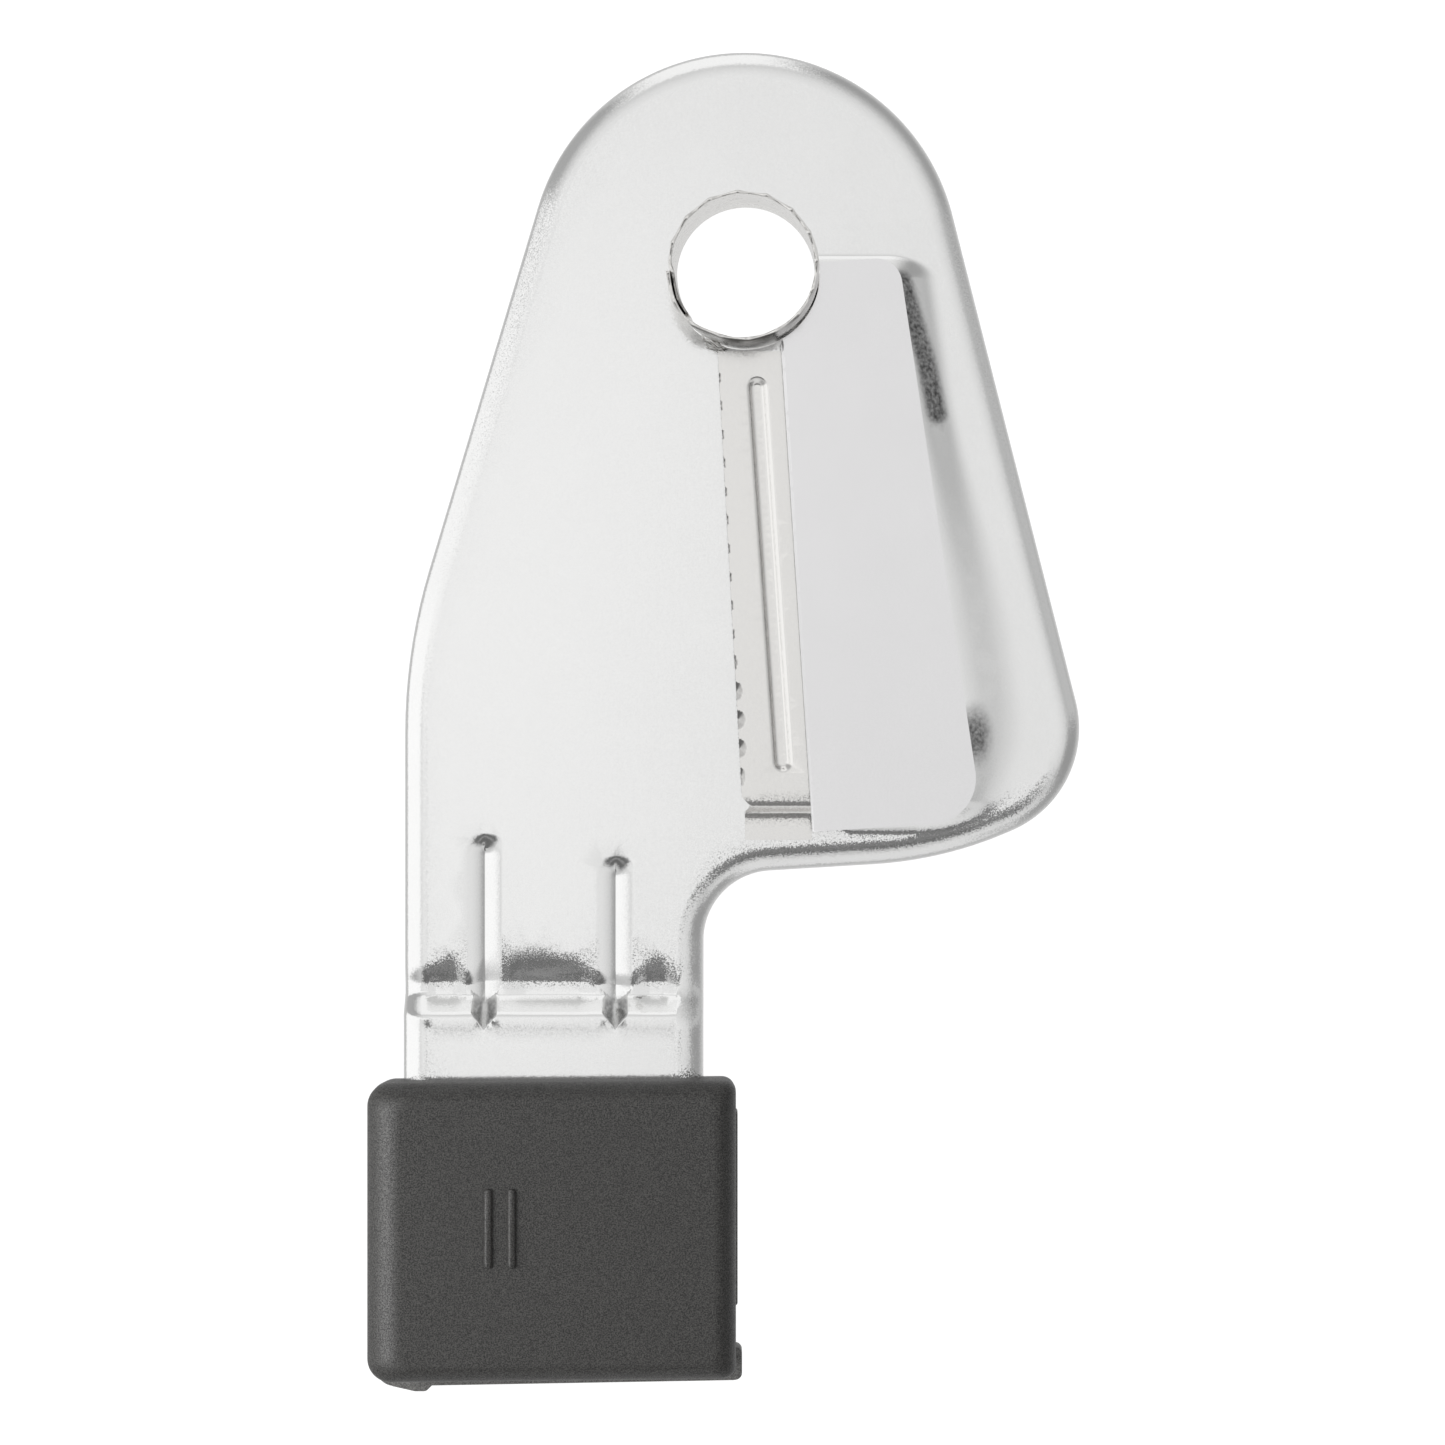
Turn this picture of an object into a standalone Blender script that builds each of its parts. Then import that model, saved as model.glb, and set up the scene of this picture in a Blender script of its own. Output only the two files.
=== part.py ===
"""Blade insert of a spiral vegetable cutter, lying on its back.

+X is to the right, +Y towards the round end, +Z towards the food. Lengths below are in millimetres, measured from the
middle of the plate's front face; the finished meshes are in metres, with the origin under the middle of the object.
"""

import math

import bpy
import numpy as np
from mathutils import Vector
from mathutils.geometry import delaunay_2d_cdt

# Driving dimensions (mm)
GAP = 0.30
SHEET = 0.80
RIM_RADIUS = 2.60
RIM_BOTTOM = -5.50
TANG_RIM_BOTTOM = -1.00
HEAD_RADIUS = 21.64
TANG_RISE = 1.70
TANG_DIP = 0.55
GROOVE_DEPTH = 0.95
GROOVE_HALF = 1.65
PLATFORM = 2.40
RING_CENTRE = (2.20, 44.60)
RING_INNER = 6.85
RING_WALL = 0.47
RING_FRONT = 9.50
RING_REAR = -1.20
RING_TEETH = 16
RING_TOOTH = 0.60
STRIP = 0.45
STRIP_FRONT = 1.85
STRIP_FOOT_FRONT = 0.75
STRIP_GROOVE = 0.50
SCALLOPS = 15
BLADE = 0.45
BLADE_BACK = 2.70
BEVEL = 0.70
HANDLE_FRONT = 8.00
PARTING = -1.50
HANDLE_BACK = RIM_BOTTOM
TANG_END = -57.0

# Corners of the plate's outline, counter-clockwise: x, y, corner radius
PLATE_OUTLINE = (
    (3.92, 126.85, HEAD_RADIUS),
    (-31.95, 7.30, 57.20),
    (-31.94, TANG_END, 3.00),
    (-1.91, TANG_END, 3.00),
    (-1.91, -15.30, 7.05),
    (22.30, -13.84, 39.90),
    (37.90, -7.06, 11.17),
)
# The slicing blade's cutting edge, from its foot to the ring
EDGE_FOOT = np.array((8.93, -10.87))
EDGE_TOP = np.array((5.81, 37.96))
GROOVES = ((-23.65, -11.25), (-10.20, -13.25))
PIN_SPOTS = ((-24.0, -47.0), (-9.9, -47.0))
PIN_RADIUS = 1.60


def smooth(t):
    """0 to 1 with level ends."""
    t = np.clip(t, 0.0, 1.0)
    return t * t * (3.0 - 2.0 * t)


def soft_min(a, b, radius):
    """The lower of two surfaces, with the crease between them rounded."""
    t = np.clip(0.5 + 0.5 * (b - a) / radius, 0.0, 1.0)
    return b + (a - b) * t - radius * t * (1.0 - t)


def edge_offset(x, y):
    """Distance to the right of the slicing blade's cutting edge."""
    along = (EDGE_TOP - EDGE_FOOT) / np.linalg.norm(EDGE_TOP - EDGE_FOOT)
    return (x - EDGE_FOOT[0]) * along[1] - (y - EDGE_FOOT[1]) * along[0]


def joggle(y):
    """Height of the neck: a shallow dip, then a ramp up to the tang."""
    dip = -TANG_DIP * smooth((-22.3 - y) / 3.7)
    ramp = 1.0 - (1.0 - np.clip((-27.1 - y) / 3.3, 0.0, 1.0)) ** 2.2
    return dip + (TANG_DIP + TANG_RISE) * ramp


def groove(x, y, centre, top):
    """A pressed groove whose floor runs out as a V on the tang."""
    fall = np.sqrt(np.clip(1.0 - np.clip((top - y) / 1.7, 0.0, 1.0), 0.0, 1.0))
    floor = -GROOVE_DEPTH * (1.0 - fall) - TANG_DIP * smooth((-22.3 - y) / 3.7)
    climb = np.clip((-28.0 - y) / 2.4, 0.0, 1.6)
    floor = floor + climb * (GROOVE_DEPTH + TANG_DIP + TANG_RISE)
    side = ((x - centre) / GROOVE_HALF) ** 2 * GROOVE_DEPTH
    return floor + side + np.where(y > top, 1.0, 0.0)


def platform(x, y):
    """The raised seat of the slicing blade."""
    right = np.clip(((x - 17.1) + (y - 41.9) * 0.1495) / 1.011, 0.0, None) / 5.6
    left = np.clip(4.2 - edge_offset(x, y), 0.0, None) / 2.6
    up = np.clip(y - 44.3, 0.0, None) / 2.6
    down = np.clip(-8.6 - y, 0.0, None) / 2.9
    reach = np.sqrt(right**2 + left**2 + up**2 + down**2)
    return PLATFORM * (1.0 - smooth(reach))


def plate_height(x, y):
    """Front face of the pressed plate."""
    x, y = np.asarray(x, float), np.asarray(y, float)
    height = joggle(y) + np.where(y > -12.0, platform(x, y), 0.0)
    for centre, top in GROOVES:
        height = soft_min(height, groove(x, y, centre, top), 0.30)
    return height


def strip_height(x, y):
    """Front face of the comb strip, with its joggled foot and pressed groove."""
    x, y = np.asarray(x, float), np.asarray(y, float)
    step = smooth((-7.75 - y) / 1.8)
    height = STRIP_FRONT - (STRIP_FRONT - STRIP_FOOT_FRONT) * step
    start, end = np.array((3.84, 33.4)), np.array((6.03, -3.9))
    along = end - start
    share = np.clip(((x - start[0]) * along[0] + (y - start[1]) * along[1]) / (along @ along), 0, 1)
    away = np.hypot(x - start[0] - share * along[0], y - start[1] - share * along[1])
    return height - STRIP_GROOVE * (1.0 - smooth((away - 0.35) / 0.95))


def blade_height(x, y):
    """Front face of the slicing blade, ground down to its cutting edge."""
    away = edge_offset(np.asarray(x, float), np.asarray(y, float))
    return BLADE_BACK + BLADE - (BLADE - 0.06) * np.clip(1.0 - away / BEVEL, 0.0, 1.0)


def rounded(corners, step=8.0):
    """Closed outline through corners (x, y, radius), each turned as an arc in steps of at most that many degrees."""
    points = []
    for i, (x, y, radius) in enumerate(corners):
        here = np.array((x, y), float)
        back = np.array(corners[i - 1][:2], float) - here
        ahead = np.array(corners[(i + 1) % len(corners)][:2], float) - here
        back, ahead = back / np.linalg.norm(back), ahead / np.linalg.norm(ahead)
        if radius <= 0.0:
            points.append(here)
            continue
        half = 0.5 * math.acos(max(-1.0, min(1.0, back @ ahead)))
        inward = (back + ahead) / np.linalg.norm(back + ahead)
        centre = here + inward * radius / math.sin(half)
        start = here + back * radius / math.tan(half) - centre
        turn = math.pi - 2.0 * half
        if back[1] * ahead[0] - back[0] * ahead[1] < 0.0:
            turn = -turn
        steps = max(2, math.ceil(abs(math.degrees(turn)) / step))
        for k in range(steps + 1):
            c, s = math.cos(turn * k / steps), math.sin(turn * k / steps)
            points.append(centre + (c * start[0] - s * start[1], s * start[0] + c * start[1]))
    return np.array(points)


def divided(outline, pitch):
    """The outline with its long sides cut into lengths of at most pitch(middle)."""
    points = []
    for here, ahead in zip(outline, np.roll(outline, -1, axis=0)):
        length = np.linalg.norm(ahead - here)
        cuts = max(1, math.ceil(length / pitch((here + ahead) / 2.0)))
        points += [here + (ahead - here) * k / cuts for k in range(cuts)]
    return np.array(points)


def outward(outline):
    """Outward offset direction at each point of a counter-clockwise outline."""
    ahead = np.roll(outline, -1, axis=0) - outline
    ahead /= np.linalg.norm(ahead, axis=1)[:, None]
    back = np.roll(ahead, 1, axis=0)
    both = ahead + back
    both /= np.linalg.norm(both, axis=1)[:, None]
    return np.stack([both[:, 1], -both[:, 0]], axis=1) / np.sum(both * ahead, axis=1)[:, None]


def inside(points, outline):
    """Which points lie inside a closed outline."""
    x, y = points[:, 0][:, None], points[:, 1][:, None]
    x0, y0 = outline[:, 0][None], outline[:, 1][None]
    x1, y1 = np.roll(outline[:, 0], -1)[None], np.roll(outline[:, 1], -1)[None]
    span = (y0 > y) != (y1 > y)
    cross = x0 + (y - y0) * (x1 - x0) / np.where(y1 == y0, 1e-12, y1 - y0)
    return (span & (x < cross)).sum(axis=1) % 2 == 1


def distance(points, outline):
    """Distance from each point to the outline."""
    start, end = outline, np.roll(outline, -1, axis=0)
    best = np.full(len(points), 1e9)
    for a, b in zip(start, end):
        share = np.clip((points - a) @ (b - a) / max((b - a) @ (b - a), 1e-12), 0.0, 1.0)
        best = np.minimum(best, np.linalg.norm(points - a - share[:, None] * (b - a), axis=1))
    return best


def rows(start, end, asides, step):
    """Points along a line and along its parallels, each aside to the right of the way from start to end."""
    start, end = np.array(start, float), np.array(end, float)
    length = np.linalg.norm(end - start)
    along = (end - start) / length
    across = np.array((along[1], -along[0]))
    stops = np.linspace(0.0, length, max(2, round(length / step) + 1))
    return [start + along * stop + across * aside for aside in asides for stop in stops]


def fan(centre, reach_x, reach_y, low, high):
    """Points over a quarter of an ellipse, between two angles in degrees."""
    angles = [math.radians(a) for a in np.linspace(low, high, 6)]
    shares = (0.25, 0.5, 0.75, 1.0)
    return [np.array(centre) + (reach_x * r * math.cos(a), reach_y * r * math.sin(a)) for r in shares for a in angles]


def thinned(points, least):
    """The points in order, without those nearer than that to one already kept."""
    kept = np.empty((0, 2))
    for point in points:
        if not len(kept) or np.min(np.hypot(*(kept - point).T)) >= least:
            kept = np.vstack([kept, point])
    return kept


def plate_points():
    """Where the plate's face needs points: grooves, joggle, platform slopes, and a wide lattice."""
    made = []
    for centre, top in GROOVES:
        asides = [GROOVE_HALF * share for share in (-1.15, -0.85, -0.45, 0.0, 0.45, 0.85, 1.15)]
        made += rows((centre, top - 1.9), (centre, -30.4), asides, 1.35)
        made += fan((centre, top - 1.7), GROOVE_HALF, 1.75, 0.0, 180.0)
    for y in (-22.3, -23.5, -24.8, -26.0, -27.0, -27.35, -27.9, -28.5, -29.3, -30.4):
        made += rows((-29.2, y), (-4.7, y), (0.0,), 2.6)
    made += rows((16.74, 44.3), (24.65, -8.6), [5.6 * k / -6.0 for k in range(7)], 5.5)
    made += fan((16.74, 44.3), 5.6, 2.6, 0.0, 90.0) + fan((24.65, -8.6), 5.6, 2.9, -90.0, 0.0)
    made += rows((10.4, 44.3), (16.7, 44.3), (0.0, -0.65, -1.3, -1.95, -2.6), 3.1)
    made += rows((13.4, -8.6), (24.6, -8.6), (0.0, 0.7, 1.4, 2.1, 2.9), 3.6)
    made += rows(EDGE_FOOT, EDGE_TOP + (0.4, 7.0), (1.6, 2.5, 3.4, 4.2), 5.0)
    made += [np.array((x, y)) for x in np.arange(-30.0, 36.0, 8.0) for y in np.arange(-55.0, 66.0, 8.0)]
    return thinned(made, 0.42)


def strip_points():
    """Where the comb strip's face needs points: its groove and its joggle."""
    made = rows((3.84, 33.4), (6.03, -3.9), (-1.3, -0.85, -0.4, 0.4, 0.85, 1.3), 3.3)
    for y in (-7.75, -8.1, -8.5, -8.9, -9.25, -9.55):
        made += rows((2.9, y), (8.4, y), (0.0,), 2.7)
    made += fan((3.84, 33.4), 1.3, 1.3, 0.0, 180.0) + fan((6.03, -3.9), 1.3, 1.3, 180.0, 360.0)
    return thinned(made, 0.28)


def sheet_faces(loops, extra):
    """Triangles between closed loops (outer first), with the extra points inside: points and faces."""
    loops = [np.float32(loop).astype(float) for loop in loops]
    points = [p for loop in loops for p in loop]
    edges, first = [], 0
    for loop in loops:
        edges += [(first + k, first + (k + 1) % len(loop)) for k in range(len(loop))]
        first += len(loop)
    keep = inside(extra, loops[0]) & (distance(extra, loops[0]) > 0.35)
    for hole in loops[1:]:
        keep &= ~inside(extra, hole) & (distance(extra, hole) > 0.35)
    points += list(extra[keep])
    found = delaunay_2d_cdt([Vector(p) for p in points], edges, [], 0, 1e-6, False)
    flat = np.array([tuple(v) for v in found[0]])
    faces = np.array(found[2])
    middle = flat[faces].mean(axis=1)
    shown = inside(middle, loops[0])
    for hole in loops[1:]:
        shown &= ~inside(middle, hole)
    return flat, faces[shown]


def add_object(name, points, faces, material, soft=True):
    """A mesh object from millimetre points."""
    mesh = bpy.data.meshes.new(name)
    mesh.from_pydata([tuple(p * 0.001) for p in np.asarray(points, float)], [], [tuple(map(int, f)) for f in faces])
    mesh.update()
    if soft:
        mesh.shade_smooth()
    mesh.materials.append(material)
    made = bpy.data.objects.new(name, mesh)
    bpy.context.scene.collection.objects.link(made)
    return made


def sheet_solid(name, loops, extra, height, thickness, material):
    """A sheet of constant thickness, square at its edges."""
    flat, faces = sheet_faces(loops, extra)
    level = height(flat[:, 0], flat[:, 1])
    low = level - thickness if np.isscalar(thickness) else thickness(flat[:, 0], flat[:, 1])
    top = np.column_stack([flat, level])
    bottom = np.column_stack([flat, low])
    count = len(flat)
    made = [tuple(f) for f in faces] + [tuple(f[::-1] + count) for f in faces]
    first = 0
    for k, loop in enumerate(loops):
        turn = 1 if k == 0 else -1
        ids = [first + i for i in range(len(loop))][::turn]
        made += [(a, a + count, b + count, b) for a, b in zip(ids, ids[1:] + ids[:1])]
        first += len(loop)
    return add_object(name, np.vstack([top, bottom]), made, material)


def circle(centre, radius, count, turn=0.0):
    """Points round a circle, counter-clockwise."""
    a = np.linspace(0.0, 2.0 * math.pi, count, endpoint=False) + turn
    return np.column_stack([centre[0] + radius * np.cos(a), centre[1] + radius * np.sin(a)])


def throat():
    """The slot in the plate behind the slicing blade's edge."""
    along = (EDGE_TOP - EDGE_FOOT) / np.linalg.norm(EDGE_TOP - EDGE_FOOT)
    across = np.array((along[1], -along[0]))
    low, high = EDGE_FOOT + along * 3.4, EDGE_TOP - along * 2.0
    ends = [low + across * 0.3, low + across * 3.8, high + across * 3.8, high + across * 0.3]
    return rounded([(*p, 1.0) for p in ends], 20.0)


def plate_pitch(middle):
    """Spacing of the points along the plate's straight sides."""
    return 0.7 if -31.5 < middle[1] < -21.8 else 2.5 if middle[1] < -31.5 else 7.0


def carrier_plate(material):
    """The pressed plate with its rolled rim, holes and tang."""
    outline = divided(rounded(PLATE_OUTLINE, 7.0), plate_pitch)
    aside = outward(outline)
    seat = outline - aside * RIM_RADIUS
    level = plate_height(seat[:, 0], seat[:, 1])
    tang = smooth((-24.0 - outline[:, 1]) / 9.5)
    foot = RIM_BOTTOM + (TANG_RIM_BOTTOM - RIM_BOTTOM) * tang
    holes = [circle(RING_CENTRE, RING_INNER + RING_WALL + GAP, 48), throat()]
    holes += [circle(spot, PIN_RADIUS + GAP, 16) for spot in PIN_SPOTS]
    flat, faces = sheet_faces([seat] + holes, plate_points())
    count, around = len(flat), len(seat)
    front = np.column_stack([flat, plate_height(flat[:, 0], flat[:, 1])])
    back = front - (0.0, 0.0, SHEET)
    points = [front, back]
    made = [tuple(f) for f in faces] + [tuple(f[::-1] + count) for f in faces]
    first = around
    for hole in holes:
        ids = list(range(first + len(hole) - 1, first - 1, -1))
        made += [(a, a + count, b + count, b) for a, b in zip(ids, ids[1:] + ids[:1])]
        first += len(hole)
    start = 2 * count
    rings = []
    for inner in (False, True):
        radius = RIM_RADIUS - (SHEET if inner else 0.0)
        shift = SHEET if inner else 0.0
        previous = np.arange(around) + (count if inner else 0)
        for turn in (67.5, 45.0, 22.5, 0.0, None):
            if turn is None:
                away, height = shift, foot
            else:
                away = shift + radius * (1.0 - math.cos(math.radians(turn)))
                height = level - RIM_RADIUS + radius * math.sin(math.radians(turn))
            ring = np.column_stack([outline - aside * away, np.broadcast_to(height, around)])
            points.append(ring)
            ids = start + np.arange(around)
            start += around
            ahead, previous_ahead = np.roll(ids, -1), np.roll(previous, -1)
            for a, b, c, d in zip(previous, ids, ahead, previous_ahead):
                made.append((a, d, c, b) if inner else (a, b, c, d))
            previous = ids
        rings.append(previous)
    outer, inner = rings
    for a, b, c, d in zip(outer, inner, np.roll(inner, -1), np.roll(outer, -1)):
        made.append((a, b, c, d))
    return add_object("carrier_plate", np.vstack(points), made, material)


def coring_ring(material):
    """The rolled strip with a scalloped edge and a lapped seam."""
    count = RING_TEETH * 8
    angle = np.linspace(0.0, 2.0 * math.pi, count, endpoint=False)
    share = (angle * RING_TEETH / (2.0 * math.pi)) % 1.0
    gullet = np.sin(math.pi * share)
    lap = smooth(1.0 - abs(angle - math.radians(218.0)) / math.radians(9.0))
    crest = RING_FRONT - RING_TOOTH * gullet
    inner = np.full(count, RING_INNER)
    outer = inner + RING_WALL
    levels = (
        (inner, np.full(count, RING_REAR)),
        (outer, np.full(count, RING_REAR)),
        (outer, np.full(count, 0.6)),
        (outer + 0.35 * lap, np.full(count, 1.2)),
        (outer + 0.35 * lap, crest - 0.9),
        (inner + 0.12, crest),
        (inner, crest - 0.05),
    )
    points = []
    for radius, height in levels:
        ring = [RING_CENTRE[0] + radius * np.cos(angle), RING_CENTRE[1] + radius * np.sin(angle), height]
        points.append(np.column_stack(ring))
    made = []
    for k in range(len(levels)):
        low, high = k * count, ((k + 1) % len(levels)) * count
        for i in range(count):
            j = (i + 1) % count
            made.append((low + i, low + j, high + j, high + i))
    return add_object("coring_ring", np.vstack(points), made, material)


def scalloped_edge():
    """The comb strip's left edge, from its foot to the ring, with its rounded cut-outs."""
    foot, top = np.array((1.94, -7.42)), np.array((-0.45, 36.63))
    along = (top - foot) / np.linalg.norm(top - foot)
    across = np.array((along[1], -along[0]))
    points = [foot]
    for k in range(SCALLOPS):
        middle = foot + along * (2.00 + 2.845 * k)
        deep = 0.80 - 0.035 * k
        for share in (-1.0, -0.6, 0.0, 0.6, 1.0):
            points.append(middle + along * 0.8 * share + across * deep * (1.0 - share * share))
    return points + [top]


def comb_blade(material):
    """The narrow toothed strip beside the slicing blade."""
    edge = scalloped_edge()
    along = (EDGE_TOP - EDGE_FOOT) / np.linalg.norm(EDGE_TOP - EDGE_FOOT)
    across = np.array((along[1], -along[0]))
    low, high = EDGE_FOOT + along * 2.2 + across * 1.1, EDGE_TOP - along * 1.02 + across * 1.1
    outline = [(2.24, -11.71), (8.90, -11.71), (8.95, -9.6), tuple(low), tuple(high), (-0.43, 36.95)]
    outline = np.array(outline + edge[::-1] + [(2.84, -8.35), (2.24, -8.95)])
    outline = divided(outline, lambda _: 3.0)
    return sheet_solid("comb_blade", [outline], strip_points(), strip_height, STRIP, material)


def slicing_blade(material):
    """The flat trapezoid blade over the platform, with one ground edge."""
    reach = RING_INNER + RING_WALL + GAP + 0.05
    low, high = math.radians(-61.5), math.radians(8.4)
    arc = [(RING_CENTRE[0] + reach * math.cos(a), RING_CENTRE[1] + reach * math.sin(a), 0.0)
           for a in np.linspace(high, low, 12)]
    corners = [(*EDGE_FOOT, 0.15), (25.83, -9.72, 4.5), (17.47, 46.22, 2.6)] + arc
    outline = divided(rounded(corners, 10.0), lambda _: 6.0)
    line = [EDGE_FOOT + (EDGE_TOP - EDGE_FOOT) * t + (BEVEL, 0.0) for t in np.linspace(0.01, 0.985, 40)]
    return sheet_solid("slicing_blade", [outline], np.array(line), blade_height,
                       lambda x, y: np.full(len(x), BLADE_BACK), material)


def loft(name, rings, material):
    """A closed solid through rings of equal point count, capped at both ends."""
    count = len(rings[0])
    made = [tuple(range(count))[::-1], tuple(range((len(rings) - 1) * count, len(rings) * count))]
    for k in range(len(rings) - 1):
        low, high = k * count, (k + 1) * count
        for i in range(count):
            j = (i + 1) % count
            made.append((low + i, low + j, high + j, high + i))
    return add_object(name, np.vstack(rings), made, material)


def raised(outline, height):
    """A flat outline at a height."""
    return np.column_stack([outline, np.full(len(outline), float(height))])


def front_ring(left, right, up, down, shrink, height):
    """The handle's section at a height, drawn in from each side."""
    corners = [
        (-35.24 + left, -65.20 + down, 2.6 - shrink),
        (1.33 - right, -64.80 + down, 1.3 - 0.4 * shrink),
        (1.33 - right, -35.53 - up, 1.3 - 0.4 * shrink),
        (-35.24 + left, -35.80 - up, 2.6 - shrink),
    ]
    return raised(rounded(corners, 18.5), height)


def box_tool(name, low, high):
    """A box that cuts or joins another object."""
    corners = [(low[0], low[1]), (high[0], low[1]), (high[0], high[1]), (low[0], high[1])]
    corners = np.array(corners)
    return loft(name, [raised(corners, low[2]), raised(corners, high[2])], bpy.data.materials[0])


def combine(target, tool, operation):
    """Cuts the tool from the target, or joins it on."""
    change = target.modifiers.new(tool.name, "BOOLEAN")
    change.operation = operation
    change.solver = "EXACT"
    change.object = tool
    tool.hide_render = True
    tool.display_type = "WIRE"


def handle_front(material):
    """The moulded front half: rounded face, tang pocket, index bars and pins."""
    rise = 3.6
    rings = [front_ring(0.15, 0.15, 0.1, 0.1, 0.0, PARTING), front_ring(0, 0, 0, 0, 0, 2.0)]
    for turn in (0, 18, 36, 54, 70, 82, 90):
        a = math.radians(turn)
        back = 1.0 - math.cos(a)
        height = HANDLE_FRONT - rise + rise * math.sin(a)
        rings.append(front_ring(3.6 * back, 2.2 * back, 1.9 * back, 2.0 * back, 1.2 * back, height))
    made = loft("handle_front", rings, material)
    pocket = box_tool("cut_pocket", (-32.25, TANG_END - GAP, PARTING - 1.0), (-1.60, -34.0, TANG_RISE + GAP))
    combine(made, pocket, "DIFFERENCE")
    for k, x in enumerate((-22.9, -20.6)):
        bar = rounded([(x - 0.37, -53.5, 0.3), (x + 0.37, -53.5, 0.3), (x + 0.37, -45.7, 0.3), (x - 0.37, -45.7, 0.3)], 30)
        low, middle = raised(bar, HANDLE_FRONT - 0.5), raised(bar, HANDLE_FRONT + 0.22)
        top = raised(bar + (np.array((x, -49.6)) - bar) * (0.45, 0.04), HANDLE_FRONT + 0.42)
        combine(made, loft(f"join_bar_{k}", [low, middle, top], material), "UNION")
    for k, spot in enumerate(PIN_SPOTS):
        ring = circle(spot, PIN_RADIUS, 20)
        tip = circle(spot, PIN_RADIUS - 0.3, 20)
        pin = loft(f"join_pin_{k}", [raised(tip, -2.9), raised(ring, -2.6), raised(ring, 4.0)], material)
        combine(made, pin, "UNION")
    return made


def handle_rear(material):
    """The moulded rear half: clamping pad, guide rail, side tab and end hook."""
    corners = [
        (-34.90, -66.70, 2.0), (-33.20, -66.68, 0.0), (-30.90, -67.20, 0.5), (-29.80, -67.20, 0.5),
        (-29.20, -66.62, 0.0), (1.10, -66.08, 0.2), (1.96, -65.95, 0.7), (1.96, -62.90, 0.7),
        (1.20, -62.70, 0.0), (1.20, -58.70, 0.0), (1.52, -58.40, 0.3), (1.52, -39.20, 0.3),
        (1.20, -38.90, 0.0), (1.20, -36.00, 1.2), (-34.90, -36.30, 2.2),
    ]
    outline = rounded(corners, 18.0)
    inset = outline - outward(outline) * 0.12
    back = PARTING - GAP
    rings = [raised(inset, HANDLE_BACK), raised(outline, HANDLE_BACK + 0.35), raised(outline, back)]
    made = loft("handle_rear", rings, material)
    pad = box_tool("join_pad", (-28.6, -53.6, back - 1.0), (-5.3, -37.0, TANG_RISE - SHEET - GAP))
    combine(made, pad, "UNION")
    for k, spot in enumerate(PIN_SPOTS):
        ring = circle(spot, PIN_RADIUS + GAP, 20)
        combine(made, loft(f"cut_pin_{k}", [raised(ring, -3.3), raised(ring, 3.0)], material), "DIFFERENCE")
    return made


def new_material(name, colour, metallic, roughness):
    """A plain surface material."""
    made = bpy.data.materials.new(name)
    made.use_nodes = True
    surface = made.node_tree.nodes["Principled BSDF"]
    surface.inputs["Base Color"].default_value = (*colour, 1.0)
    surface.inputs["Metallic"].default_value = metallic
    surface.inputs["Roughness"].default_value = roughness
    return made


def centre_on_floor():
    """Moves every mesh so that the origin is under the middle of the object."""
    shown = [o for o in bpy.data.objects if not o.hide_render]
    points = np.array([v.co for o in shown for v in o.data.vertices])
    low, high = points.min(axis=0), points.max(axis=0)
    shift = Vector((-(low[0] + high[0]) / 2.0, -(low[1] + high[1]) / 2.0, -low[2]))
    for o in bpy.data.objects:
        for v in o.data.vertices:
            v.co += shift


def main():
    """Clears the scene and builds every piece."""
    for o in list(bpy.data.objects):
        bpy.data.objects.remove(o)
    pressed = new_material("pressed_steel", (0.78, 0.78, 0.77), 1.0, 0.30)
    strip = new_material("strip_steel", (0.72, 0.71, 0.69), 1.0, 0.36)
    blade = new_material("blade_steel", (0.75, 0.75, 0.76), 1.0, 0.25)
    black = new_material("black_plastic", (0.035, 0.034, 0.032), 0.0, 0.55)
    carrier_plate(pressed)
    coring_ring(strip)
    comb_blade(strip)
    slicing_blade(blade)
    handle_front(black)
    handle_rear(black)
    centre_on_floor()


main()
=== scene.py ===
"""Looks of the spiral-cutter blade insert: pressed steel, ground edges, spark-eroded plastic, and its light.

Shapes are worked out in millimetres from the middle of the plate's front face, as in the CAD, and are moved
into the frame by one offset, which is read from the CAD foot.
"""

import math

import bpy
import numpy as np
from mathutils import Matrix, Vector
from mathutils.geometry import delaunay_2d_cdt


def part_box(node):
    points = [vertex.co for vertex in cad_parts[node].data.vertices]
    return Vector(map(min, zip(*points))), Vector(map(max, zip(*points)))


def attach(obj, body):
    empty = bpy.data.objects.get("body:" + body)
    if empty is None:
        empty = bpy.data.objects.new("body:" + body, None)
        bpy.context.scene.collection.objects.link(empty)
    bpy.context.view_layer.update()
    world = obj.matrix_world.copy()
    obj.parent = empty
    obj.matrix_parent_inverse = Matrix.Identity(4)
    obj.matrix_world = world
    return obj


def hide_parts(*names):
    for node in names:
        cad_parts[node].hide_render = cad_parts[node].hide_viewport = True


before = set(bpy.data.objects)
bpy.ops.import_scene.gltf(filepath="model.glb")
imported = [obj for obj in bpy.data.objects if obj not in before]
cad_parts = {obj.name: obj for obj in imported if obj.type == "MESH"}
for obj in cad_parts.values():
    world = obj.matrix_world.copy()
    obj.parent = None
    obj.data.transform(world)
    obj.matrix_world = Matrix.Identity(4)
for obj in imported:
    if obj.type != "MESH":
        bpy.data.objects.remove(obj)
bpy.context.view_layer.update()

# Driving dimensions (mm)
SHEET = 0.80
RIM_RADIUS = 2.60
RIM_BOTTOM = -5.50
TANG_RIM_BOTTOM = -1.00
HEAD_RADIUS = 21.64
TANG_RISE = 1.70
TANG_DIP = 0.55
PLATFORM = 2.40
RING_CENTRE = np.array((2.20, 44.60))
RING_INNER = 6.85
RING_WALL = 0.42
RING_FRONT = 9.50
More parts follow.
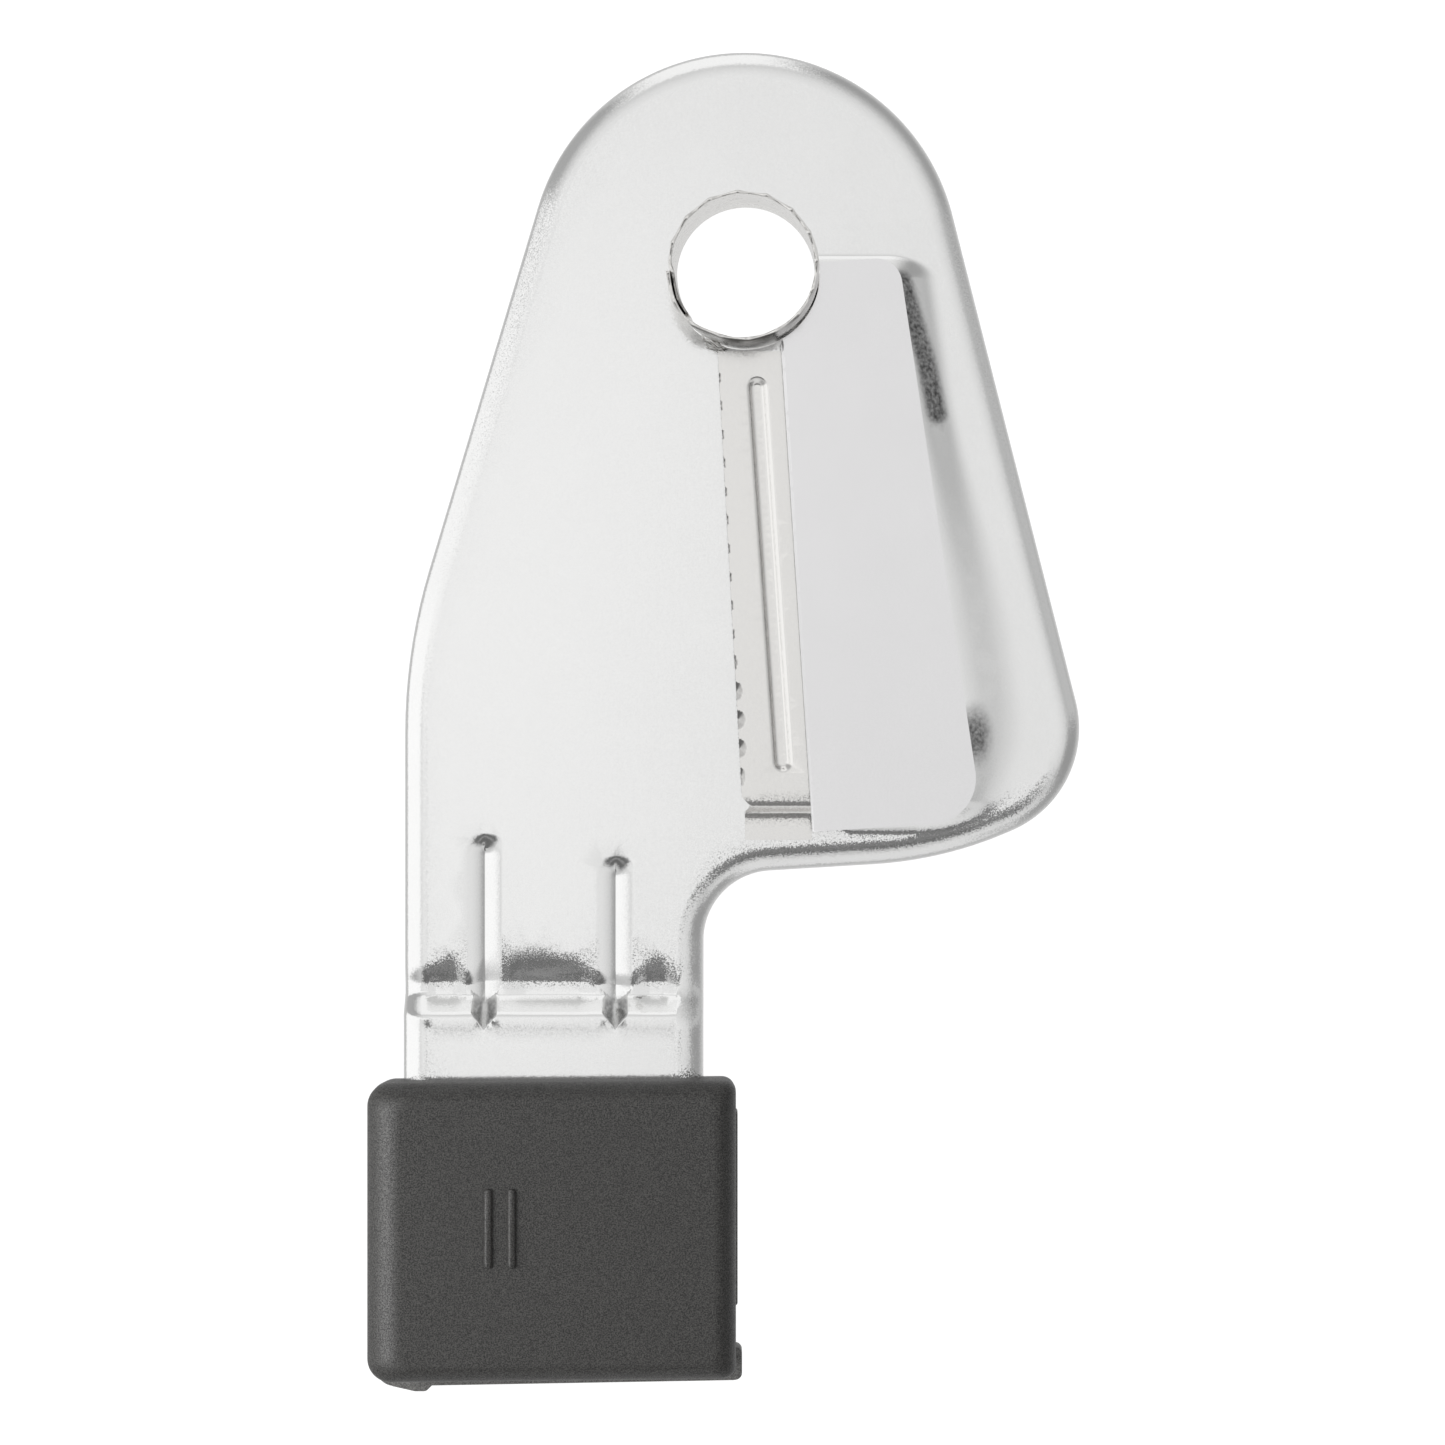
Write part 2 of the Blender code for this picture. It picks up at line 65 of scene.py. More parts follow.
RING_REAR = -1.20
RING_TEETH = 16
STRIP = 0.45
STRIP_FRONT = 1.70
STRIP_FOOT_FRONT = 0.50
STRIP_GROOVE = 0.50
STRIP_RIB = ((3.45, 33.35), (6.00, -3.90))
BLADE = 0.45
BLADE_BACK = 2.48
BEVEL = 0.16
HANDLE_FRONT = 8.00
PARTING = -1.50
TANG_END = -57.0
RAISED_BARS = (-22.98, -20.66)
BAR_HALF = 0.42
BAR_ENDS = (-53.5, -45.7)

# The camera's assumed height above the plate, and the width that it sees there (mm)
CAMERA_DISTANCE = 400.0
VIEW_WIDTH = 144.5

# The foot's lowest corner in the design's own millimetres, which places everything in the frame
FOOT_CORNER = Vector((-35.24, -65.20, -2.90))
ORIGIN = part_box("handle_front")[0] - FOOT_CORNER * 0.001

PLATE_OUTLINE = (
    (3.92, 126.85, HEAD_RADIUS),
    (-31.95, 7.30, 57.20),
    (-31.94, TANG_END, 3.00),
    (-1.91, TANG_END, 3.00),
    (-1.91, -15.30, 7.05),
    (22.30, -13.84, 39.90),
    (37.90, -7.06, 11.17),
)
EDGE_FOOT = np.array((8.93, -10.87))
EDGE_TOP = np.array((5.81, 37.96))
EDGE_WAY = (EDGE_TOP - EDGE_FOOT) / np.linalg.norm(EDGE_TOP - EDGE_FOOT)
EDGE_ACROSS = np.array((EDGE_WAY[1], -EDGE_WAY[0]))
STRIP_FOOT = np.array((1.94, -7.42))
STRIP_TOP = np.array((-0.45, 36.63))

# The ring's centre at its rear and at its cutting edge, since it leans a little
RING_FOOT = np.array((2.355, 44.72))
RING_LIP = np.array((2.03, 44.62))

# The visual ring's bore, and the compass angles where its strip starts and ends, one lap later
RING_BORE = 6.90
RING_ENDS = (184.0, 579.5)

# How far the strip stands off at each angle, and how much painted dark reflection its lower side and painted
# shade the end of its lap carry
RING_LAP = ((184, 0.22), (219.5, 0.50), (250, 0.04), (300, -0.06), (340, 0.02), (508, 0.10), (535, 0.10),
            (546, -0.20), (579.5, 0.10))
RING_PAINTED_REFLECTION = ((252, 0.0), (257, 1.0), (293, 1.0), (299, 0.1), (318, 0.5), (340, 0.35), (360, 0.0))
RING_PAINTED_LAP_SHADE = ((543, 0.0), (552, 1.0), (580, 1.0))

# Weld burrs: distance from the ring's middle, first and last angle, half thickness, height
WELD_BURRS = ((7.50, 234, 257, 0.12, 0.9), (7.72, 236, 256, 0.09, 0.7), (7.95, 239, 258, 0.09, 0.6),
              (8.17, 241, 255, 0.07, 0.5), (7.56, 238, 254, 0.10, 1.3))

# The comb strip's serrations: number, place of the first, pitch, depth, and the half length and reach of each
# from the foot up; the last pair repeats
SERRATIONS = 15
FIRST_SERRATION = 2.00
SERRATION_PITCH = 2.845
SERRATION_DROP = 0.20
SERRATION = ((0.95, 0.45), (0.95, 0.75), (0.95, 0.78), (0.92, 0.66), (0.72, 0.26), (0.50, 0.20))

# The neck's grooves, each (centre, upper end), their depth, their half widths to the left and right of the
# crease, and where the rule for their upper part gives way to the rule for their nose
GROOVES = ((-23.80, -12.85), (-10.70, -15.05))
GROOVE_DEPTH = 0.70
GROOVE_SIDES = (1.95, 1.75)
GROOVE_GATE = -26.2

# How late the neck's dip starts from left to right: late beside the rims and the grooves
DIP_DELAY = ((-31.0, 1.0), (-29.2, 0.70), (-27.1, 0.25), (-25.4, 0.95), (-22.4, 0.10), (-18.8, 0.0),
             (-15.2, 0.30), (-12.3, 0.95), (-9.2, 1.0), (-6.5, 0.25), (-4.4, 1.0))

# How much of the dip's full depth is reached from left to right
DIP_SHARE = ((-31.2, 0.25), (-28.6, 1.0), (-27.0, 1.0), (-25.6, 0.55), (-22.0, 0.70), (-19.5, 1.0),
             (-14.6, 1.0), (-12.4, 0.55), (-9.0, 0.55), (-7.3, 1.0), (-6.2, 1.0), (-4.0, 0.25))

# The ramp up to the tang: where it starts, its straight run, its eased run, and the slight swell above it
RAMP_START = -27.20
RAMP_STRAIGHT = 1.55
RAMP_EASE = 0.70
CROWN = 0.085

# Where the seat's slope carries a painted dark reflection: a line of points, then a spot's centre and half
# sizes
STREAK = ((17.9, 43.8), (20.3, 36.0), (21.4, 30.8))
SPOT = (25.1, -1.3)
SPOT_HALF = (2.3, 4.0)

# ---------------------------------------------------------------- heights


def smooth(t):
    """0 to 1 with level ends."""
    t = np.clip(t, 0.0, 1.0)
    return t * t * (3.0 - 2.0 * t)


def soft_min(a, b, radius):
    """The lower of two surfaces, with the crease between them rounded."""
    t = np.clip(0.5 + 0.5 * (b - a) / radius, 0.0, 1.0)
    return b + (a - b) * t - radius * t * (1.0 - t)


def edge_offset(x, y):
    """Distance to the right of the slicing blade's cutting edge."""
    return (x - EDGE_FOOT[0]) * EDGE_WAY[1] - (y - EDGE_FOOT[1]) * EDGE_WAY[0]


def blend(x, knots):
    """A value that eases from knot to knot, each (x, value)."""
    result = np.full(np.shape(x), float(knots[0][1]))
    for (x0, v0), (x1, v1) in zip(knots, knots[1:]):
        result = result + (v1 - v0) * smooth((x - x0) / (x1 - x0))
    return result


def dip(x, y):
    """The shallow dip across the neck, creased along its lower side."""
    late = blend(x, DIP_DELAY)
    start = -21.9 - 2.9 * late
    end = -25.85 - 0.45 * late**4
    share = np.clip((start - y) / (start - end), 0.0, None)
    depth = TANG_DIP * blend(x, DIP_SHARE)
    return -depth * soft_min(share**1.9, np.ones(np.shape(share)), 0.10)


def ramp(y):
    """The way up from the dip to the tang, from 0 to 1: straight, then eased off."""
    run = np.clip(RAMP_START - y, 0.0, None)
    start = np.where(run < 0.2, run * run / 0.4, run - 0.1)
    eased = np.clip(run - RAMP_STRAIGHT, 0.0, RAMP_EASE)
    shape = np.minimum(start, RAMP_STRAIGHT - 0.1) + eased - eased**2 / (2.0 * RAMP_EASE)
    return shape / (RAMP_STRAIGHT - 0.1 + RAMP_EASE / 2.0)


def joggle(x, y):
    """Height of the neck, whose tang is very slightly proud where the ramp ends."""
    crown = CROWN * (1.0 - smooth((-29.25 - y) / 1.35))
    share = ramp(y)
    return dip(x, y) * (1.0 - share) + (TANG_RISE + crown) * share


def groove(x, y, centre, top):
    """Depth of a pressed groove with a creased floor and a rounded upper end."""
    left = x < centre
    side = np.abs(x - centre) / np.where(left, *GROOVE_SIDES)
    up = np.clip(y - top + 0.45, 0.0, None) / 2.3
    across = np.clip(1.0 - side, 0.0, 1.0) ** np.where(left, 2.1, 1.15)
    return -GROOVE_DEPTH * across * smooth(1.0 - up)


def groove_nose(x, y, centre, top):
    """The groove's lower end, which holds its depth under the ramp and rises to the tang in a nose."""
    side = np.abs(x - centre)
    rise = 0.84 * np.clip(-28.0 - y + 0.9 * side, 0.0, 5.0) ** 1.25
    beyond = np.clip(side - np.where(x < centre, *GROOVE_SIDES), 0.0, None)
    clear = 1.1 * beyond * smooth((GROOVE_GATE - y) / 1.0)
    return dip(x, y) + groove(x, y, centre, top) + rise + clear


def platform(x, y):
    """The raised seat of the slicing blade: steep at the upper right, wide at the lower right."""
    wide = 7.4 - 2.6 * smooth((y - 8.0) / 26.0)
    curl = 0.030 * np.clip(3.0 - y, 0.0, 14.0) ** 2
    right = np.clip(((x - 17.1) + (y - 41.9) * 0.1495) / 1.011 + curl, 0.0, None) / wide
    left = np.clip(4.2 - edge_offset(x, y), 0.0, None) / 2.6
    up = np.clip(y - 44.3, 0.0, None) / 2.6
    down = np.clip(-7.6 - y, 0.0, None) / 3.7
    reach = np.sqrt(right**2 + left**2 + up**2 + down**2)
    return PLATFORM * (1.0 - smooth(reach))


def shaded_folds(x, y):
    """How much painted dark reflection the seat's slope carries, from 0 to 1: a streak at the blade's upper
    right, a spot lower down.
    """
    away = np.full(np.shape(x), 1e9)
    for a, b in zip(STREAK, STREAK[1:]):
        a, b = np.array(a), np.array(b)
        along = (x - a[0]) * (b - a)[0] + (y - a[1]) * (b - a)[1]
        share = np.clip(along / ((b - a) @ (b - a)), 0.0, 1.0)
        off = np.hypot(x - a[0] - share * (b - a)[0], y - a[1] - share * (b - a)[1])
        away = np.minimum(away, off)
    streak = 1.0 - smooth((away - 0.55) / 0.85)
    from_spot = np.hypot((x - SPOT[0]) / SPOT_HALF[0], (y - SPOT[1]) / SPOT_HALF[1])
    spot = 1.0 - smooth((from_spot - 0.25) / 0.75)
    return np.maximum(streak, spot)


def plate_height(x, y):
    """Front face of the pressed plate."""
    height = joggle(x, y) + np.where(y > -12.0, platform(x, y), 0.0)
    for centre, top in GROOVES:
        cut = height + groove(x, y, centre, top)
        nose = soft_min(height, groove_nose(x, y, centre, top), 0.02 + 0.16 * smooth((-27.3 - y) / 0.8))
        height = np.where(y > GROOVE_GATE, cut, nose)
    return height


def serration(x, y):
    """How deep each point lies in the ground facets along the comb strip's cutting edge, from 0 to 1."""
    along = (STRIP_TOP - STRIP_FOOT) / np.linalg.norm(STRIP_TOP - STRIP_FOOT)
    way = (x - STRIP_FOOT[0]) * along[0] + (y - STRIP_FOOT[1]) * along[1]
    in_from_edge = (x - STRIP_FOOT[0]) * along[1] - (y - STRIP_FOOT[1]) * along[0]
    deepest = np.zeros(np.shape(x))
    for k in range(SERRATIONS):
        wide, deep = SERRATION[min(k, len(SERRATION) - 1)]
        from_middle = (way - FIRST_SERRATION - SERRATION_PITCH * k) / wide
        reach = np.hypot(from_middle, np.clip(in_from_edge, 0.0, None) / deep)
        deepest = np.maximum(deepest, np.clip(1.0 - reach, 0.0, 1.0))
    return deepest


def strip_height(x, y):
    """Front face of the comb strip, with its joggled foot, pressed groove and ground serrations."""
    step = 0.48 * smooth((-7.70 - y) / 2.0) + 0.52 * smooth((-8.30 - y) / 0.75)
    height = STRIP_FRONT - (STRIP_FRONT - STRIP_FOOT_FRONT) * step
    start, end = np.array(STRIP_RIB[0]), np.array(STRIP_RIB[1])
    along = end - start
    share = np.clip(((x - start[0]) * along[0] + (y - start[1]) * along[1]) / (along @ along), 0, 1)
    away = np.hypot(x - start[0] - share * along[0], y - start[1] - share * along[1])
    height = height - STRIP_GROOVE * (1.0 - smooth((away - 0.30) / 0.85))
    return height - SERRATION_DROP * serration(x, y)


def strip_back(x, y):
    """Rear face of the comb strip, which the serrations leave alone."""
    return strip_height(x, y) + SERRATION_DROP * serration(x, y) - STRIP


def blade_height(x, y):
    """Front face of the slicing blade, ground down to its cutting edge."""
    away = edge_offset(x, y)
    return BLADE_BACK + BLADE - 0.14 * np.clip(1.0 - away / BEVEL, 0.0, 1.0)


def blade_back(x, y):
    """Rear face of the slicing blade, which is flat."""
    return np.full(len(x), BLADE_BACK)


# ---------------------------------------------------------------- outlines


def rounded(corners, step=3.0):
    """Closed outline through corners (x, y, radius), each an arc in steps of at most so many degrees."""
    points = []
    for i, (x, y, radius) in enumerate(corners):
        here = np.array((x, y), float)
        back = np.array(corners[i - 1][:2], float) - here
        ahead = np.array(corners[(i + 1) % len(corners)][:2], float) - here
        back, ahead = back / np.linalg.norm(back), ahead / np.linalg.norm(ahead)
        if radius <= 0.0:
            points.append(here)
            continue
        half = 0.5 * math.acos(max(-1.0, min(1.0, back @ ahead)))
        inward = (back + ahead) / np.linalg.norm(back + ahead)
        centre = here + inward * radius / math.sin(half)
        start = here + back * radius / math.tan(half) - centre
        turn = math.pi - 2.0 * half
        if back[1] * ahead[0] - back[0] * ahead[1] < 0.0:
            turn = -turn
        steps = max(2, math.ceil(abs(math.degrees(turn)) / step))
        for k in range(steps + 1):
            c, s = math.cos(turn * k / steps), math.sin(turn * k / steps)
            points.append(centre + (c * start[0] - s * start[1], s * start[0] + c * start[1]))
    return np.array(points)


def divided(outline, pitch):
    """The outline with its long sides cut into lengths of at most pitch(middle)."""
    points = []
    for here, ahead in zip(outline, np.roll(outline, -1, axis=0)):
        length = np.linalg.norm(ahead - here)
        cuts = max(1, math.ceil(length / pitch((here + ahead) / 2.0)))
        points += [here + (ahead - here) * k / cuts for k in range(cuts)]
    return np.array(points)


def outward(outline):
    """Outward offset direction at each point of a counter-clockwise outline."""
    ahead = np.roll(outline, -1, axis=0) - outline
    ahead /= np.linalg.norm(ahead, axis=1)[:, None]
    back = np.roll(ahead, 1, axis=0)
    both = ahead + back
    both /= np.linalg.norm(both, axis=1)[:, None]
    return np.stack([both[:, 1], -both[:, 0]], axis=1) / np.sum(both * ahead, axis=1)[:, None]


def circle(centre, radius, count):
    """Points round a circle, counter-clockwise."""
    a = np.linspace(0.0, 2.0 * math.pi, count, endpoint=False)
    return np.column_stack([centre[0] + radius * np.cos(a), centre[1] + radius * np.sin(a)])


def inside(points, outline):
    """Which points lie inside a closed outline."""
    result = np.zeros(len(points), bool)
    x, y = points[:, 0], points[:, 1]
    for (x0, y0), (x1, y1) in zip(outline, np.roll(outline, -1, axis=0)):
        if y0 == y1:
            continue
        span = (y0 > y) != (y1 > y)
        result ^= span & (x < x0 + (y - y0) * (x1 - x0) / (y1 - y0))
    return result


def distance(points, outline):
    """Distance from each point to the outline."""
    best = np.full(len(points), 1e9)
    for a, b in zip(outline, np.roll(outline, -1, axis=0)):
        share = np.clip((points - a) @ (b - a) / max((b - a) @ (b - a), 1e-12), 0.0, 1.0)
        best = np.minimum(best, np.linalg.norm(points - a - share[:, None] * (b - a), axis=1))
    return best


# ---------------------------------------------------------------- mesh building


def slope(height, x, y, e=0.01):
    """Unit normals of a height surface."""
    gx = (height(x + e, y) - height(x - e, y)) / (2 * e)
    gy = (height(x, y + e) - height(x, y - e)) / (2 * e)
    n = np.column_stack([-gx, -gy, np.ones(len(x))])
    return n / np.linalg.norm(n, axis=1)[:, None]


def bending(height, x, y, e):
    """How much a height surface bends within e of each point."""
    level = height(x, y)
    bend = abs(height(x + e, y) + height(x - e, y) - 2 * level)
    return bend + abs(height(x, y + e) + height(x, y - e) - 2 * level)


def lattice(height, box, levels, coarse):
    """Points on ever finer lattices where a surface bends more than each level, (pitch, limit), allows."""
    kept = {}
    cell = levels[-1][0]
    for pitch, limit in [(coarse, -1.0)] + list(levels):
        xs = np.arange(box[0], box[2], pitch)
        ys = np.arange(box[1], box[3], pitch * 0.866)
        x = (xs[None] + 0.5 * pitch * (np.arange(len(ys))[:, None] % 2)).ravel()
        y = np.repeat(ys, len(xs))
        shown = bending(height, x, y, 0.5 * pitch) > limit
        for px, py in zip(x[shown], y[shown]):
            kept[(round(px / cell), round(py / cell))] = (px, py)
    return np.array(sorted(kept.values()))


def sheet_faces(loops, extra, clear):
    """Triangles between closed loops (outer first), with the extra points inside: points and faces."""
    loops = [np.float32(loop).astype(float) for loop in loops]
    points = [p for loop in loops for p in loop]
    edges, first = [], 0
    for loop in loops:
        edges += [(first + k, first + (k + 1) % len(loop)) for k in range(len(loop))]
        first += len(loop)
    keep = inside(extra, loops[0]) & (distance(extra, loops[0]) > clear)
    for hole in loops[1:]:
        keep &= ~inside(extra, hole) & (distance(extra, hole) > clear)
    points += list(extra[keep])
    found = delaunay_2d_cdt([Vector(p) for p in points], edges, [], 0, 1e-6, False)
    flat = np.array([tuple(v) for v in found[0]])
    faces = np.array(found[2])
    middle = flat[faces].mean(axis=1)
    shown = inside(middle, loops[0])
    for hole in loops[1:]:
        shown &= ~inside(middle, hole)
    return flat, faces[shown]


def piece(name, points, faces, material, nodes, normals=None, exact=0, sharp=(), marks=None):
    """A finished piece on the root body, for its CAD nodes; its first exact faces take the given normals."""
    mesh = bpy.data.meshes.new(name)
    world = np.asarray(points, float) * 0.001 + np.array(ORIGIN)
    mesh.from_pydata([tuple(p) for p in world], [], [tuple(map(int, f)) for f in faces])
    mesh.update()
    mesh.shade_smooth()
    if len(sharp):
        wanted = {tuple(sorted(map(int, pair))) for pair in sharp}
        flags = [tuple(sorted(e.vertices)) in wanted for e in mesh.edges]
        mesh.attributes.new("sharp_edge", "BOOLEAN", "EDGE").data.foreach_set("value", flags)
    for key, values in (marks or {}).items():
        mesh.attributes.new(key, "FLOAT", "POINT").data.foreach_set("value", np.float32(values))
    if exact:
        corners = np.zeros(len(mesh.loops), int)
        mesh.loops.foreach_get("vertex_index", corners)
        given = np.zeros((len(corners), 3))
        last = sum(len(f) for f in faces[:exact])
        given[:last] = normals[corners[:last]]
        mesh.normals_split_custom_set(given)
    mesh.materials.append(material)
    made = bpy.data.objects.new(name, mesh)
    bpy.context.scene.collection.objects.link(made)
    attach(made, "root")
    if nodes:
        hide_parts(*nodes)
    return made


def loop_pairs(ids):
    """The closed loop of edges through these vertices."""
    return list(zip(ids, np.roll(ids, -1)))


def sheet_piece(name, loops, extra, height, low, material, nodes, clear, marks=None):
    """A sheet between closed loops, with exact normals on its faces and square edges."""
    flat, faces = sheet_faces(loops, extra, clear)
    x, y = flat[:, 0], flat[:, 1]
    top = np.column_stack([flat, height(x, y)])
    bottom = np.column_stack([flat, low(x, y)])
    count = len(flat)
    made = [tuple(f) for f in faces] + [tuple(f[::-1] + count) for f in faces]
    exact = len(made)
    first, sharp = 0, []
    for k, loop in enumerate(loops):
        ids = list(range(first, first + len(loop)))[:: 1 if k == 0 else -1]
        made += [(a, a + count, b + count, b) for a, b in zip(ids, ids[1:] + ids[:1])]
        sharp += loop_pairs(np.array(ids)) + loop_pairs(np.array(ids) + count)
        first += len(loop)
    normals = np.vstack([slope(height, x, y), -slope(low, x, y)])
    values = {key: np.concatenate([maker(top), maker(bottom)]) for key, maker in (marks or {}).items()}
    points = np.vstack([top, bottom])
    return piece(name, points, made, material, nodes, normals, exact, sharp, values)


def loft(name, rings, material, nodes, sharp_rings=()):
    """A solid through rings of equal point count, capped at both ends."""
    count = len(rings[0])
    made = [tuple(range(count))[::-1], tuple(range((len(rings) - 1) * count, len(rings) * count))]
    for k in range(len(rings) - 1):
        low, high = k * count, (k + 1) * count
        for i in range(count):
            j = (i + 1) % count
            made.append((low + i, low + j, high + j, high + i))
    sharp = []
    for k in sharp_rings:
        sharp += loop_pairs(np.arange(k * count, (k + 1) * count))
    return piece(name, np.vstack(rings), made, material, nodes, sharp=sharp)


def tube_faces(rows, count, flip=False):
    """Quads between rows of count points that close on each other round a strip, and its two end caps."""
    faces = []
    for k in range(rows):
        low, high = k * count, ((k + 1) % rows) * count
        for i in range(count - 1):
            quad = (low + i, low + i + 1, high + i + 1, high + i)
            faces.append((quad[0], quad[3], quad[2], quad[1]) if flip else quad)
    caps = [tuple(k * count for k in range(rows)), tuple(k * count + count - 1 for k in range(rows))]
    faces.append(caps[0][::-1] if flip else caps[0])
    faces.append(caps[1] if flip else caps[1][::-1])
    return faces


def raised(outline, height):
    """A flat outline at a height."""
    return np.column_stack([outline, np.full(len(outline), float(height))])


# ---------------------------------------------------------------- material nodes


# Relief in the materials (m): the steel's rolled grain and the plastic's spark-eroded pits
GRAIN_HEIGHT = 0.00001
PIT_DEPTH = 0.00003


class Nodes:
    """A short way to add and join shader nodes."""

    def __init__(self, tree):
        self.tree = tree

    def add(self, kind, inputs=None, **settings):
        """A node with its settings, and with its inputs set or joined by name or number."""
        node = self.tree.nodes.new(kind)
        for key, value in settings.items():
            setattr(node, key, value)
        for key, value in (inputs or {}).items():
            if isinstance(value, bpy.types.NodeSocket):
                self.tree.links.new(value, node.inputs[key])
            else:
                node.inputs[key].default_value = value
        return node

    def math(self, operation, a, b=0.0, c=0.0, clamp=False):
        """A Math node's result."""
        return self.add("ShaderNodeMath", {0: a, 1: b, 2: c}, operation=operation, use_clamp=clamp).outputs[0]

    def noise(self, where, scale, detail=2.0, roughness=0.5):
        """A noise texture's value, with its scale in waves per metre."""
        found = self.add("ShaderNodeTexNoise", {"Vector": where, "Scale": scale, "Detail": detail,
                                                "Roughness": roughness})
        return found.outputs["Fac"]

    def range(self, value, low, high, out_low, out_high, kind="LINEAR"):
        """A value carried from one range to another."""
        node = self.add("ShaderNodeMapRange", {0: value, 1: low, 2: high, 3: out_low, 4: out_high},
                        interpolation_type=kind)
        return node.outputs[0]

    def mark(self, name):
        """A value stored on the mesh's points."""
        return self.add("ShaderNodeAttribute", attribute_name=name).outputs["Fac"]


def new_material(name):
    """An empty material with its surface, and the object's own coordinates."""
    made = bpy.data.materials.new(name)
    made.use_nodes = True
    nodes = Nodes(made.node_tree)
    surface = made.node_tree.nodes["Principled BSDF"]
    where = nodes.add("ShaderNodeTexCoord").outputs["Object"]
    return made, nodes, surface, where


def stretched(nodes, where, x, y, z):
    """Coordinates scaled along each axis, for grain that runs one way."""
    return nodes.add("ShaderNodeMapping", {"Vector": where, "Scale": (x, y, z)}).outputs["Vector"]


def steel_colour(nodes, where, clouds, colour, stain_and_painted_shade):
    """The steel's colour: faint clouds and fine grain, darkened by painted shade where the mesh asks, and
    mixed towards a dark brown for stains and painted shade.
    """
    spread = nodes.range(nodes.noise(where, 2600.0), 0.3, 0.7, 0.6, 1.0)
    # Painted shade and painted dark reflection: the mark darkens the steel's colour where the mesh asks for
    # it.
    painted_shade = nodes.math("MULTIPLY", nodes.mark("painted_shade"), spread)
    fine = nodes.noise(where, 5200.0, 2.0, 0.6)
    shade = nodes.math("MULTIPLY_ADD", clouds, 0.05, 0.975)
    shade = nodes.math("MULTIPLY", shade, nodes.range(fine, 0.3, 0.7, 0.985, 1.015))
    shade = nodes.math("MULTIPLY", shade, nodes.math("SUBTRACT", 1.0, nodes.math("MULTIPLY", painted_shade, 0.6)))
    grey = nodes.add("ShaderNodeCombineColor", {0: shade, 1: shade, 2: shade}).outputs[0]
    base = nodes.add("ShaderNodeMix", {0: 1.0, 6: (*colour, 1.0), 7: grey},
                     data_type="RGBA", blend_type="MULTIPLY").outputs[2]
    if stain_and_painted_shade is None:
        return base
    # Random brown stain spots, plus the mark, which carries stain on the weld burrs and painted reflection
    # and shade on the ring.
    spots = nodes.range(nodes.noise(where, 2400.0, 3.0, 0.65), 0.58, 0.72, 0.0, 0.5)
    stain_and_shade_share = nodes.range(nodes.noise(where, 900.0, 3.0, 0.7), 0.35, 0.6, 0.75, 1.0)
    stain_and_shade_share = nodes.math("MAXIMUM", nodes.math("MULTIPLY", nodes.mark("stain_and_painted_shade"), stain_and_shade_share), spots)
    return nodes.add("ShaderNodeMix", {0: stain_and_shade_share, 6: base, 7: (*stain_and_painted_shade, 1.0)}, data_type="RGBA").outputs[2]


def steel_normal(nodes, where, bend, grain, orange_peel):
    """The steel's worked surface: orange peel that grows with the bend, under rolled grain."""
    rolled = nodes.noise(stretched(nodes, where, 1.0, 0.12, 1.0), 9000.0, 3.0, 0.6)
    peel = nodes.add("ShaderNodeTexNoise", {"Vector": where, "Scale": 7500.0, "Detail": 1.0}).outputs["Color"]
    tilt = nodes.add("ShaderNodeVectorMath", {0: peel, 1: (0.5, 0.5, 0.5)}, operation="SUBTRACT").outputs[0]
    amount = nodes.range(bend, 0.0, 1.0, 0.12 * orange_peel, orange_peel)
    tilt = nodes.add("ShaderNodeVectorMath", {0: tilt, "Scale": amount}, operation="SCALE").outputs[0]
    face = nodes.add("ShaderNodeNewGeometry").outputs["Normal"]
    worked = nodes.add("ShaderNodeVectorMath", {0: face, 1: tilt}).outputs[0]
    worked = nodes.add("ShaderNodeVectorMath", {0: worked}, operation="NORMALIZE").outputs[0]
    bump = nodes.add("ShaderNodeBump", {"Strength": grain, "Distance": GRAIN_HEIGHT, "Height": rolled,
                                        "Normal": worked})
    return bump.outputs[0]


def steel(name, colour, roughness, grain, orange_peel, stain_and_painted_shade=None):
    """Bright sheet steel: rolled grain, faint clouds, and orange peel where the sheet is bent."""
    made, nodes, surface, where = new_material(name)
    link = made.node_tree.links.new
    surface.inputs["Metallic"].default_value = 1.0
    clouds = nodes.noise(where, 180.0, 3.0, 0.55)
    link(steel_colour(nodes, where, clouds, colour, stain_and_painted_shade), surface.inputs["Base Color"])
    bend = nodes.mark("bend")
    rough = nodes.range(clouds, 0.3, 0.7, roughness * 0.92, roughness * 1.10)
    rough = nodes.math("ADD", rough, nodes.math("MULTIPLY", bend, 0.05))
    link(rough, surface.inputs["Roughness"])
    link(steel_normal(nodes, where, bend, grain, orange_peel), surface.inputs["Normal"])
    return made


